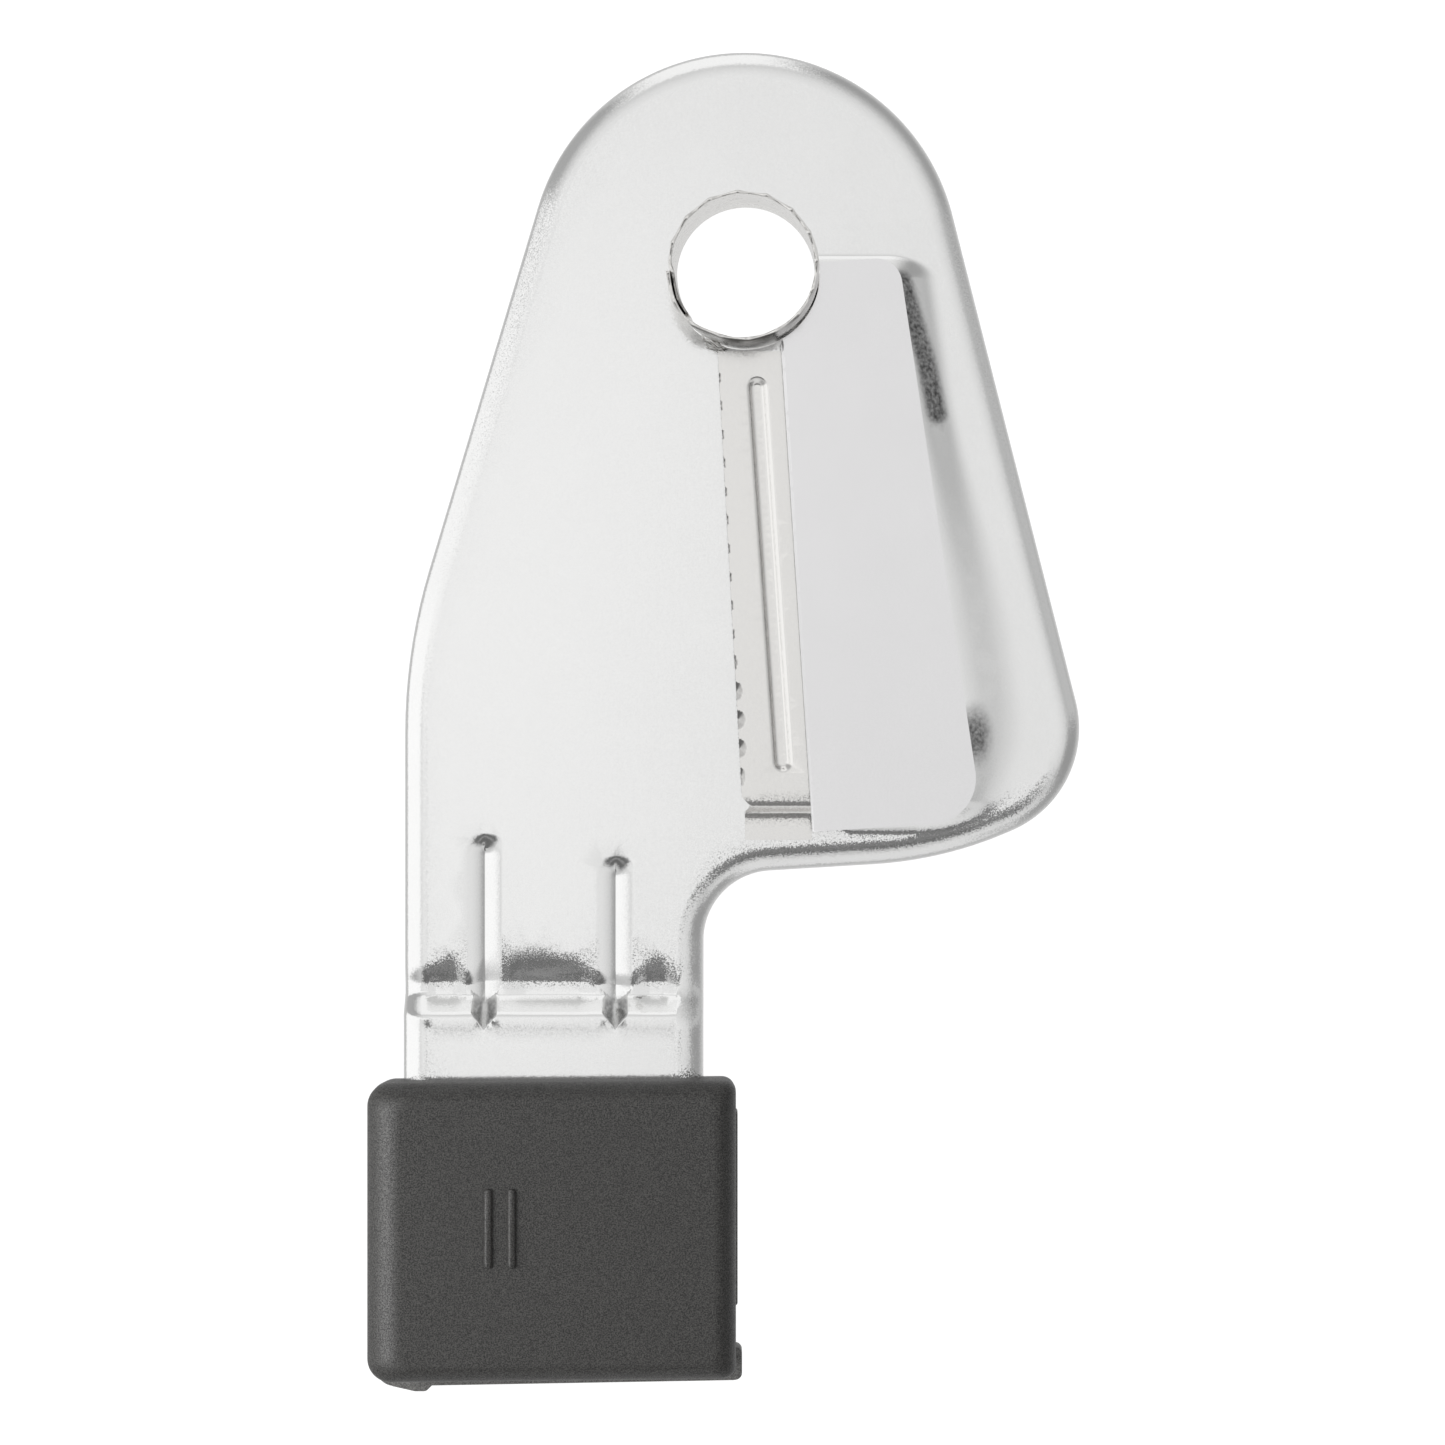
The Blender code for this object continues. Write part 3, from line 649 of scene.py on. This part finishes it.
def plastic(name, colour, light):
    """Black moulded plastic with a spark-eroded skin: fine pits between grains, whose glints are painted into
    the colour.
    """
    made, nodes, surface, where = new_material(name)
    link = made.node_tree.links.new
    grains = nodes.noise(where, 7200.0, 2.0, 0.75)
    clouds = nodes.noise(where, 260.0, 3.0, 0.6)
    cells = nodes.add("ShaderNodeTexVoronoi", {"Vector": where, "Scale": 5000.0})
    # Painted highlights: the lighter colour on the grains' crests and on scattered cells stands for glints.
    glint = nodes.range(cells.outputs["Distance"], 0.05, 0.32, 1.0, 0.0)
    chance = nodes.add("ShaderNodeSeparateColor", {0: cells.outputs["Color"]}).outputs[0]
    glint = nodes.math("MULTIPLY", glint, nodes.range(chance, 0.60, 0.95, 0.0, 1.0))
    crest = nodes.range(grains, 0.40, 0.62, 0.0, 1.0)
    shine = nodes.math("MAXIMUM", nodes.math("MULTIPLY", crest, 0.68), glint)
    mix = nodes.add("ShaderNodeMix", {0: shine, 6: (*colour, 1.0), 7: (*light, 1.0)}, data_type="RGBA")
    link(mix.outputs[2], surface.inputs["Base Color"])
    rough = nodes.math("ADD", nodes.range(crest, 0.0, 1.0, 0.52, 0.36), nodes.math("MULTIPLY", clouds, 0.06))
    link(rough, surface.inputs["Roughness"])
    surface.inputs["Specular IOR Level"].default_value = 0.42
    bump = nodes.add("ShaderNodeBump", {"Strength": 1.0, "Distance": PIT_DEPTH, "Height": grains})
    link(bump.outputs[0], surface.inputs["Normal"])
    surface.inputs["IOR"].default_value = 1.50
    return made


# ---------------------------------------------------------------- pieces


def underside(points):
    """Where the plate's rim runs along its lower right, from 0 to 1: the metal is drawn hardest there."""
    return smooth((points[:, 0] + 5.0) / 4.0) * smooth((-3.0 - points[:, 1]) / 5.0)


def rim_pitch(middle):
    """Longest step along the plate's outline: short where the neck's dip and ramp cross it."""
    return 0.35 if -31.5 < middle[1] < -21.8 else 1.5


def plate_holes():
    """The hole for the coring ring, and the throat under the cutting edge."""
    low, high = EDGE_FOOT + EDGE_WAY * 3.4, EDGE_TOP - EDGE_WAY * 2.0
    near, far = EDGE_ACROSS * 0.3, EDGE_ACROSS * 3.8
    corners = [low + near, low + far, high + far, high + near]
    throat = divided(rounded([(*p, 1.0) for p in corners], 9.0), lambda _: 1.5)
    return [circle(RING_CENTRE, RING_INNER + RING_WALL + 0.05, 120), throat]


def plate_lattice():
    """Points inside the plate's face, in straight rows along each groove's crease."""
    levels = ((1.2, 0.010), (0.6, 0.006), (0.3, 0.004), (0.15, 0.002))
    extra = lattice(plate_height, (-34, -58, 37, 68), levels, 3.0)
    for centre, top in GROOVES:
        beside = (np.abs(extra[:, 0] - centre) < 0.19) & (extra[:, 1] < top + 0.05) & (extra[:, 1] > -31.2)
        rows = np.arange(-31.1, top, 0.15)
        spine = [np.column_stack([np.full(len(rows), centre + k), rows]) for k in (-0.14, -0.03, 0.03, 0.14)]
        extra = np.vstack([extra[~beside]] + spine)
    folds = lattice(shaded_folds, (14, -8, 30, 48), ((0.8, 0.02), (0.4, 0.02)), 3.0)
    return np.vstack([extra, folds])


def plate_bend(flat, seat):
    """How hard the sheet is drawn at each point of the face, from 0 to 1, for its orange peel."""
    soft = smooth(bending(plate_height, flat[:, 0], flat[:, 1], 0.8) / 0.12)
    drawn = smooth((-20.8 - flat[:, 1]) / 1.0) * smooth((flat[:, 1] + 26.6) / 0.4)
    for centre, _ in GROOVES:
        drawn = drawn * smooth((np.abs(flat[:, 0] - centre + 0.1) - 1.45) / 0.4)
    near = 1.0 - smooth(distance(flat, seat) / 1.2)
    wide = 1.0 - smooth(distance(flat, seat) / 2.2)
    return np.maximum(soft * np.maximum(drawn, 0.10), np.maximum(near * 0.25, wide * underside(flat)))


def plate_painted_shade(points, count):
    """How much painted shade darkens the face (the first count points): in the grooves' noses, and as painted
    dark reflection on the seat's slope.
    """
    painted_shade = np.zeros(len(points))
    # Painted shade in the grooves' noses, standing in for the steep flanks reflecting each other darkly.
    for centre, _ in GROOVES:
        x, y = points[:, 0] - centre, points[:, 1]
        depth = joggle(points[:, 0], y) - plate_height(points[:, 0], y)
        inner = smooth(depth / 0.25) * smooth((-27.2 - y) / 0.8) * (np.abs(x) < 2.5) * (y > -31.5)
        inner = inner * (0.3 + 0.7 * smooth((np.abs(x) - 0.12) / 0.3))
        painted_shade = np.maximum(painted_shade, inner)
    # Painted dark reflection on the seat's slope: the streak and the spot.
    painted_shade = np.maximum(painted_shade, 1.50 * shaded_folds(points[:, 0], points[:, 1]))
    painted_shade[count:] = 0.0
    return painted_shade


def rim_rows(outline, level):
    """Rows round the rolled rim, the outer skin's and then the inner's: (is inner, points, normals)."""
    around, aside = len(outline), outward(outline)
    ahead, behind = np.roll(outline, -1, axis=0), np.roll(outline, 1, axis=0)
    length = np.linalg.norm(ahead - behind, axis=1)
    climb = (np.roll(level, -1) - np.roll(level, 1)) / length
    along = np.column_stack([(ahead - behind) / length[:, None], np.zeros(around)]) * climb[:, None]
    tang = smooth((-24.0 - outline[:, 1]) / 9.5)
    foot = RIM_BOTTOM + (TANG_RIM_BOTTOM - RIM_BOTTOM) * tang
    rows = []
    for inner in (False, True):
        shift = SHEET if inner else 0.0
        radius = RIM_RADIUS - shift
        sign = -1.0 if inner else 1.0
        for turn in np.arange(80.0, -1.0, -10.0):
            c, s = math.cos(math.radians(turn)), math.sin(math.radians(turn))
            away = shift + radius * (1.0 - c)
            way = sign * (np.column_stack([aside * c, np.full(around, s)]) - along * s)
            height = level - RIM_RADIUS + radius * s
            rows.append((inner, np.column_stack([outline - aside * away, height]), way))
        rows.append((inner, np.column_stack([outline - aside * shift, foot]), np.zeros((around, 3))))
    return rows


def fine_plate(material):
    """The pressed plate: face, rolled rim and inner skin in one closed surface."""
    outline = divided(rounded(PLATE_OUTLINE, 2.0), rim_pitch)
    seat = outline - outward(outline) * RIM_RADIUS
    holes = plate_holes()
    flat, faces = sheet_faces([seat] + holes, plate_lattice(), 0.12)
    count, around = len(flat), len(seat)
    front = np.column_stack([flat, plate_height(flat[:, 0], flat[:, 1])])
    up = slope(plate_height, flat[:, 0], flat[:, 1])
    points, normals = [front, front - (0.0, 0.0, SHEET)], [up, -up]
    bend = [plate_bend(flat, seat)] * 2
    made = [tuple(f) for f in faces] + [tuple(f[::-1] + count) for f in faces]
    last = {False: np.arange(around), True: np.arange(around) + count}
    start = 2 * count
    for inner, row, way in rim_rows(outline, plate_height(seat[:, 0], seat[:, 1])):
        ids = start + np.arange(around)
        start += around
        points.append(row)
        normals.append(way)
        bend.append(0.45 + 0.55 * underside(outline))
        for a, b, c, d in zip(last[inner], ids, np.roll(ids, -1), np.roll(last[inner], -1)):
            made.append((a, d, c, b) if inner else (a, b, c, d))
        last[inner] = ids
    exact = len(made)
    sharp = loop_pairs(last[False]) + loop_pairs(last[True])
    made += list(zip(last[False], last[True], np.roll(last[True], -1), np.roll(last[False], -1)))
    first = around
    for hole in holes:
        ids = np.arange(first + len(hole) - 1, first - 1, -1)
        made += [(a, a + count, b + count, b) for a, b in loop_pairs(ids)]
        sharp += loop_pairs(ids) + loop_pairs(ids + count)
        first += len(hole)
    points = np.vstack(points)
    marks = {"bend": np.concatenate(bend), "painted_shade": plate_painted_shade(points, count)}
    return piece("plate", points, made, material, ["carrier_plate"],
                 np.vstack(normals), exact, sharp, marks)


def ring_point(radius, angle, height):
    """Points round the ring, which leans a little to the left."""
    share = (np.asarray(height) - RING_REAR) / (RING_FRONT - RING_REAR)
    return np.column_stack([RING_FOOT[0] + (RING_LIP[0] - RING_FOOT[0]) * share + radius * np.cos(angle),
                            RING_FOOT[1] + (RING_LIP[1] - RING_FOOT[1]) * share + radius * np.sin(angle),
                            np.broadcast_to(height, np.shape(angle))])


def ring_section(degrees):
    """Rows (radius, height) round the ring strip's section at each angle, from its rear inner edge on."""
    lap = blend(degrees, RING_LAP)
    share = (degrees * RING_TEETH / 360.0 - 0.2) % 1.0
    tooth = np.floor(degrees * RING_TEETH / 360.0 - 0.2).astype(int) % RING_TEETH
    chance = np.random.default_rng(7)
    depth = chance.uniform(0.38, 0.62, RING_TEETH)[tooth]
    lean = chance.uniform(-0.04, 0.05, RING_TEETH)[tooth]
    gullet = np.sin(math.pi * share)
    crest = RING_FRONT - depth * gullet
    flat = 0.12 * gullet + lean * gullet
    base = 0.15 * lap
    front = RING_BORE + 0.07 + lap
    rear, middle = np.full(len(degrees), RING_REAR), np.full(len(degrees), 2.2)
    return (
        (RING_BORE + base, rear),
        (RING_BORE + RING_WALL + base, rear),
        (RING_BORE + RING_WALL + 0.3 * lap, middle),
        (front + RING_WALL, np.full(len(degrees), RING_FRONT - 2.1)),
        (front + RING_WALL - flat, crest - 0.30 - 0.2 * gullet),
        (front + 0.29 - 0.8 * flat, crest - 0.02),
        (front + 0.10 - 0.3 * flat, crest),
        (front, crest - 0.09),
        (RING_BORE + 0.3 * lap, middle),
    )


def ring_marks(degrees, rows):
    """The ring's orange peel, and its painted reflection and shade, from 0 to 1, at each point of its rows.
    """
    # Painted dark reflection on the outer wall's lower side, and painted shade in the gap at the end of the
    # lap.
    painted_reflection = blend(degrees, RING_PAINTED_REFLECTION)
    painted_lap_shade = blend(degrees, RING_PAINTED_LAP_SHADE)
    stain_and_painted_shade = np.zeros((rows, len(degrees)))
    stain_and_painted_shade[2] = 0.6 * painted_reflection
    stain_and_painted_shade[3] = painted_reflection
    stain_and_painted_shade[4] = np.maximum(painted_reflection, painted_lap_shade)
    stain_and_painted_shade[5:7] = 0.7 * painted_lap_shade
    stain_and_painted_shade[7:] = 0.4 * painted_lap_shade
    wear = np.full((rows, len(degrees)), 0.45)
    wear[4:7] = 0.15
    return {"bend": wear.ravel(), "stain_and_painted_shade": stain_and_painted_shade.ravel()}


def fine_ring(material):
    """The coring ring: one strip rolled up with a lapped seam, its front edge ground into scallops."""
    start, end = RING_ENDS
    points_per_tooth = 12
    count = round((end - start) / 360.0 * RING_TEETH * points_per_tooth) + 1
    degrees = np.linspace(start, end, count)
    angle = np.radians(degrees)
    section = ring_section(degrees)
    rings = [ring_point(radius, angle, height) for radius, height in section]
    sharp = []
    for k in (0, 1, 4, 5, 7):
        sharp += [(k * count + i, k * count + i + 1) for i in range(count - 1)]
    return piece("coring_ring_strip", np.vstack(rings), tube_faces(len(section), count),
                 material, ["coring_ring"], sharp=sharp, marks=ring_marks(degrees, len(section)))


def weld_burrs(material):
    """Slivers of metal at the foot of the coring ring, where it is tacked beside the comb strip."""
    made = []
    count, around = 40, 8
    for number, (radius, start, end, size, height) in enumerate(WELD_BURRS):
        angle = np.radians(np.linspace(start, end, count))
        girth = size * np.sin(np.linspace(0.06, math.pi - 0.06, count)) ** 0.5
        girth = girth * (1.0 + 0.25 * np.sin(angle * 57.0 + number))
        middle = radius + 0.10 * np.sin(angle * 23.0 + 2.0 * number)
        rings = []
        for k in range(around):
            turn = 2.0 * math.pi * k / around
            out, up = girth * math.cos(turn), 1.5 * girth * math.sin(turn)
            rings.append(ring_point(middle + out, angle, height + up))
        marks = {"bend": np.ones(count * around), "stain_and_painted_shade": np.full(count * around, 0.25 * (number % 2))}
        made.append(piece(f"weld_burr_{number + 1}", np.vstack(rings), tube_faces(around, count, True),
                          material, [], marks=marks))
    return made


def strip_bend(points):
    """Where the comb strip is bent, from 0 to 1: across its joggle."""
    return smooth((-7.3 - points[:, 1]) / 0.5) * smooth((points[:, 1] + 10.1) / 0.4)


def strip_painted_shade(points):
    """How much painted shade darkens the ground serrations, which is less towards the foot."""
    # Painted shade in the serrations' notches, where the plate beneath lies in shadow.
    ground = smooth(serration(points[:, 0], points[:, 1]) / 0.12)
    return ground * np.where(points[:, 1] > 4.0, 1.2, 0.62)


def fine_strip(material):
    """The comb strip with its serrated edge, notch, joggle, groove and foot."""
    edge = [STRIP_FOOT + (STRIP_TOP - STRIP_FOOT) * t for t in np.linspace(0.0, 1.0, 180)]
    low = EDGE_FOOT + EDGE_WAY * 2.2 + EDGE_ACROSS * 1.1
    high = EDGE_TOP - EDGE_WAY * 1.02 + EDGE_ACROSS * 1.1
    outline = [(2.24, -11.71), (8.90, -11.71), (8.95, -9.6), tuple(low), tuple(high), (-0.43, 36.95)]
    outline = divided(np.array(outline + edge[::-1] + [(2.84, -8.35), (2.24, -8.95)]), lambda _: 0.8)
    levels = ((0.5, 0.004), (0.25, 0.003), (0.12, 0.002))
    extra = lattice(strip_height, (-2, -12, 11, 38), levels, 1.6)
    span = np.linalg.norm(STRIP_TOP - STRIP_FOOT)
    inward = np.array((STRIP_TOP - STRIP_FOOT)[::-1]) * (1.0, -1.0) / span
    rows = [STRIP_FOOT + (STRIP_TOP - STRIP_FOOT) * t for t in np.linspace(0.003, 0.985, 350)]
    beside = np.array([row + inward * k for row in rows for k in np.arange(0.10, 0.95, 0.12)])
    close = distance(extra, np.array([STRIP_FOOT, STRIP_TOP])) < 1.0
    extra = np.vstack([extra[~close], beside])
    return sheet_piece("comb_strip", [outline], extra, strip_height, strip_back, material,
                       ["comb_blade"], 0.05, {"bend": strip_bend, "painted_shade": strip_painted_shade})


def fine_blade(material):
    """The slicing blade with its ground edge."""
    reach = RING_INNER + RING_WALL + 0.22
    arc = [(RING_CENTRE[0] + reach * math.cos(a), RING_CENTRE[1] + reach * math.sin(a), 0.0)
           for a in np.radians(np.linspace(8.4, -61.5, 40))]
    corners = [(*EDGE_FOOT, 0.15), (25.83, -9.72, 4.5), (17.47, 46.22, 2.6)] + arc
    outline = divided(rounded(corners, 3.0), lambda _: 1.5)
    span = EDGE_TOP - EDGE_FOOT
    line = [EDGE_FOOT + span * t + EDGE_ACROSS * BEVEL for t in np.linspace(0.003, 0.99, 90)]
    inner = [p + EDGE_ACROSS * 0.12 for p in line]
    return sheet_piece("slicer", [outline], np.array(line + inner), blade_height, blade_back,
                       material, ["slicing_blade"], 0.05, {"bend": lambda points: np.zeros(len(points))})


def front_ring(left, right, up, down, shrink, height):
    """The foot's section at a height, drawn in from each side."""
    corners = [
        (-35.12 + left, -65.20 + down, 2.3 - 0.8 * shrink),
        (1.33 - right, -64.80 + down, 1.3 - 0.4 * shrink),
        (1.33 - right, -35.36 - up, 1.3 - 0.4 * shrink),
        (-35.12 + left, -35.62 - up, 2.3 - 0.8 * shrink),
    ]
    outline = rounded(corners, 7.6)
    return raised(outline, height)


def fine_front(material):
    """The foot's front moulding and its two raised index bars."""
    rise = 3.6
    rings = [
        front_ring(1.2, 1.2, 1.2, 1.2, 0.6, TANG_RISE + 0.5),
        front_ring(1.2, 1.2, 1.2, 1.2, 0.6, PARTING),
        front_ring(0.25, 0.2, 0.2, 0.2, 0.0, PARTING),
        front_ring(0.13, 0.1, 0.1, 0.1, 0.0, PARTING + 0.1),
        front_ring(0, 0, 0, 0, 0, 2.0),
    ]
    for turn in np.linspace(0.0, 90.0, 22):
        a = math.radians(turn)
        back = 1.0 - math.cos(a)
        height = HANDLE_FRONT - rise + rise * math.sin(a)
        rings.append(front_ring(3.6 * back, 2.2 * back, 1.9 * back, 2.0 * back, 1.2 * back, height))
    made = loft("foot_front", rings, material, ["handle_front"], (0, 1))
    return [made] + [index_bar(k + 1, x, material) for k, x in enumerate(RAISED_BARS)]


def index_bar(number, x, material):
    """A raised bar on the foot's face, rounded over towards its top."""
    low, high = BAR_ENDS
    left, right = x - BAR_HALF, x + BAR_HALF
    bar = rounded([(left, low, 0.3), (right, low, 0.3), (right, high, 0.3), (left, high, 0.3)], 15.0)
    middle = np.array((x, (low + high) / 2.0))
    sections = [raised(bar, HANDLE_FRONT - 0.5), raised(bar, HANDLE_FRONT + 0.12)]
    for drawn, up in ((0.12, 0.25), (0.35, 0.36), (0.6, 0.41)):
        sections.append(raised(bar + (middle - bar) * (drawn, drawn * 0.05), HANDLE_FRONT + up))
    return loft(f"index_bar_{number}", sections, material, [])


def fine_rear(material):
    """The foot's rear moulding with its guide rail, side tab and end hook."""
    corners = [
        (-34.90, -66.70, 2.0), (-33.20, -66.68, 0.0), (-30.90, -67.20, 0.5), (-29.80, -67.20, 0.5),
        (-29.20, -66.62, 0.0), (1.10, -66.08, 0.2), (1.96, -65.95, 0.7), (1.96, -62.90, 0.7),
        (1.20, -62.70, 0.0), (1.20, -58.70, 0.0), (1.52, -58.40, 0.3), (1.52, -39.20, 0.3),
        (1.20, -38.90, 0.0), (1.20, -36.00, 1.2), (-34.90, -36.30, 2.2),
    ]
    outline = divided(rounded(corners, 9.0), lambda _: 2.0)
    aside = outward(outline)
    low, high = RIM_BOTTOM, PARTING - 0.30
    rings = [raised(outline - aside * inset, height) for inset, height in
             ((0.30, low), (0.16, low + 0.03), (0.04, low + 0.13), (0.0, low + 0.30),
              (0.0, high - 0.12), (0.04, high - 0.03), (0.12, high))]
    return loft("foot_rear", rings, material, ["handle_rear"])


# ---------------------------------------------------------------- stage


# The floor: half its width and how far it lies under the object (m), its grey, and its own glow
FLOOR_HALF = 3.0
FLOOR_DROP = 0.0002
FLOOR_GREY = 0.30
FLOOR_GLOW = 0.93

# The softbox for the plastic foot: its place, the point that it faces and its side (m), and its power (W)
SOFTBOX_PLACE = (-0.80, -0.05, 0.62)
SOFTBOX_AIM = (0.0, -0.05, 0.0)
SOFTBOX_SIDE = 0.8
SOFTBOX_POWER = 12.5


def make_floor():
    """A plain white surface that only the camera sees; in the steel, the studio shows in its place."""
    mesh = bpy.data.meshes.new("floor")
    half = FLOOR_HALF
    corners = [(-half, -half, 0), (half, -half, 0), (half, half, 0), (-half, half, 0)]
    mesh.from_pydata(corners, [], [(0, 1, 2, 3)])
    material = bpy.data.materials.new("floor")
    material.use_nodes = True
    tree = material.node_tree
    nodes = Nodes(tree)
    surface = tree.nodes["Principled BSDF"]
    surface.inputs["Base Color"].default_value = (FLOOR_GREY, FLOOR_GREY, FLOOR_GREY, 1.0)
    surface.inputs["Roughness"].default_value = 0.9
    surface.inputs["Specular IOR Level"].default_value = 0.0
    glow = nodes.add("ShaderNodeEmission", {"Color": (1.0, 1.0, 1.0, 1.0), "Strength": FLOOR_GLOW})
    both = nodes.add("ShaderNodeAddShader", {0: surface.outputs[0], 1: glow.outputs[0]})
    clear = nodes.add("ShaderNodeBsdfTransparent")
    seen = nodes.add("ShaderNodeLightPath").outputs["Is Camera Ray"]
    mix = nodes.add("ShaderNodeMixShader", {0: seen, 1: clear.outputs[0], 2: both.outputs[0]})
    tree.links.new(mix.outputs[0], tree.nodes["Material Output"].inputs["Surface"])
    mesh.materials.append(material)
    made = bpy.data.objects.new("floor", mesh)
    made.location = (0.0, 0.0, -FLOOR_DROP)
    bpy.context.scene.collection.objects.link(made)


# The studio's brightness by angle from straight above (degrees)
STUDIO = ((0, 0.90), (12, 0.89), (24, 0.87), (36, 0.82), (48, 0.75), (60, 0.62), (73, 0.50), (85, 0.41),
          (97, 0.39), (112, 0.41), (150, 0.70), (180, 0.90))

# Panels and dark gaps in it: compass direction, half width and fade, lowest and highest angle from straight
# above and fade (all in degrees), and brightness
PANELS = (
    (170, 60, 45, -3, 6, 6, 1.03),
    (190, 35, 40, 8, 30, 8, 0.93),
    (165, 6, 8, 2, 118, 9, 1.10),
    (183, 10, 14, 38, 118, 10, 1.15),
    (98, 13, 18, 50, 118, 16, 1.06),
    (142, 5, 12, 62, 125, 26, 0.46),
    (12, 4, 8, 66, 115, 10, 0.58),
    (345, 6, 17, 52, 100, 20, 0.36),
    (268, 36, 28, 7, 46, 10, 0.15),
    (268, 25, 25, 23, 29, 7, 0.34),
    (303, 14, 12, 54, 78, 8, 0.74),
    (272, 16, 20, 60, 112, 12, 0.84),
)


def make_light():
    """The studio: a bright ceiling that falls off to the sides, with panels and dark gaps in it."""
    world = bpy.data.worlds.new("studio")
    world.use_nodes = True
    bpy.context.scene.world = world
    nodes = Nodes(world.node_tree)
    way = nodes.add("ShaderNodeTexCoord").outputs["Generated"]
    x, y, z = nodes.add("ShaderNodeSeparateXYZ", {0: way}).outputs
    degrees = 180.0 / math.pi
    high = nodes.math("MINIMUM", nodes.math("MAXIMUM", z, -1.0), 1.0)
    tilt = nodes.math("MULTIPLY", nodes.math("ARCCOSINE", high), degrees)
    level = nodes.add("ShaderNodeValToRGB", {0: nodes.math("DIVIDE", tilt, 180.0)})
    stops = level.color_ramp.elements
    while len(stops) < len(STUDIO):
        stops.new(0.5)
    for stop, (angle, value) in zip(stops, STUDIO):
        stop.position = angle / 180.0
        stop.color = (value, value, value, 1.0)
    lit = level.outputs[0]
    flat_squared = nodes.math("ADD", nodes.math("MULTIPLY", x, x), nodes.math("MULTIPLY", y, y))
    flat = nodes.math("MAXIMUM", nodes.math("SQRT", flat_squared), 1e-4)
    for compass, half, fade, low, top, edge, value in PANELS:
        a = math.radians(compass)
        east, north = nodes.math("MULTIPLY", x, math.cos(a)), nodes.math("MULTIPLY", y, math.sin(a))
        along = nodes.math("ADD", east, north)
        along = nodes.math("MINIMUM", nodes.math("MAXIMUM", nodes.math("DIVIDE", along, flat), -1.0), 1.0)
        off = nodes.math("MULTIPLY", nodes.math("ARCCOSINE", along), degrees)
        share = nodes.range(off, half, half + fade, 1.0, 0.0, "SMOOTHSTEP")
        share = nodes.math("MULTIPLY", share, nodes.range(tilt, low, low + edge, 0.0, 1.0, "SMOOTHSTEP"))
        share = nodes.math("MULTIPLY", share, nodes.range(tilt, top, top + edge, 1.0, 0.0, "SMOOTHSTEP"))
        lit = nodes.add("ShaderNodeMix", {0: share, 2: lit, 3: value}, data_type="FLOAT").outputs[0]
    background = world.node_tree.nodes["Background"]
    world.node_tree.links.new(lit, background.inputs["Color"])
    background.inputs["Strength"].default_value = 1.0


def make_side_light(lit):
    """A softbox at the left that only the plastic foot is shown."""
    data = bpy.data.lights.new("side_light", "AREA")
    data.shape = "SQUARE"
    data.size = SOFTBOX_SIDE
    data.energy = SOFTBOX_POWER
    made = bpy.data.objects.new("side_light", data)
    made.location = SOFTBOX_PLACE
    made.rotation_euler = (Vector(SOFTBOX_AIM) - made.location).to_track_quat("-Z", "Y").to_euler()
    bpy.context.scene.collection.objects.link(made)
    shown = bpy.data.collections.new("side_lit")
    for item in lit:
        shown.objects.link(item)
    made.light_linking.receiver_collection = shown


def make_camera():
    """Straight above the front face."""
    data = bpy.data.cameras.new("camera")
    data.sensor_width = 36.0
    data.lens = data.sensor_width * CAMERA_DISTANCE / VIEW_WIDTH
    data.clip_start = 0.01
    camera = bpy.data.objects.new("camera", data)
    camera.location = ORIGIN + Vector((0.0, 0.0, CAMERA_DISTANCE * 0.001))
    bpy.context.scene.collection.objects.link(camera)
    bpy.context.scene.camera = camera
    bpy.context.scene.view_settings.view_transform = "Standard"


def main():
    """Builds every piece, the stage, the light and the camera."""
    plate = steel("pressed_steel", (0.83, 0.83, 0.825), 0.12, 0.10, 0.48)
    strip = steel("comb_steel", (0.785, 0.775, 0.758), 0.18, 0.25, 0.50)
    blade = steel("blade_steel", (0.79, 0.785, 0.79), 0.16, 0.12, 0.10)
    # Its dark brown paints the ring's dark reflection and shade, and the weld burrs' stain.
    ring = steel("ring_steel", (0.80, 0.79, 0.77), 0.24, 0.30, 0.60, (0.045, 0.036, 0.026))
    black = plastic("black_plastic", (0.0040, 0.0038, 0.0036), (0.080, 0.078, 0.074))
    # The rear moulding is the same black plastic, coloured lighter grey: painted light for what its low sides
    # catch from below.
    rear = plastic("rear_plastic", (0.060, 0.059, 0.057), (0.22, 0.217, 0.21))
    fine_plate(plate)
    fine_ring(ring)
    weld_burrs(ring)
    fine_strip(strip)
    fine_blade(blade)
    foot = fine_front(black) + [fine_rear(rear)]
    make_floor()
    make_light()
    make_side_light(foot)
    make_camera()


main()
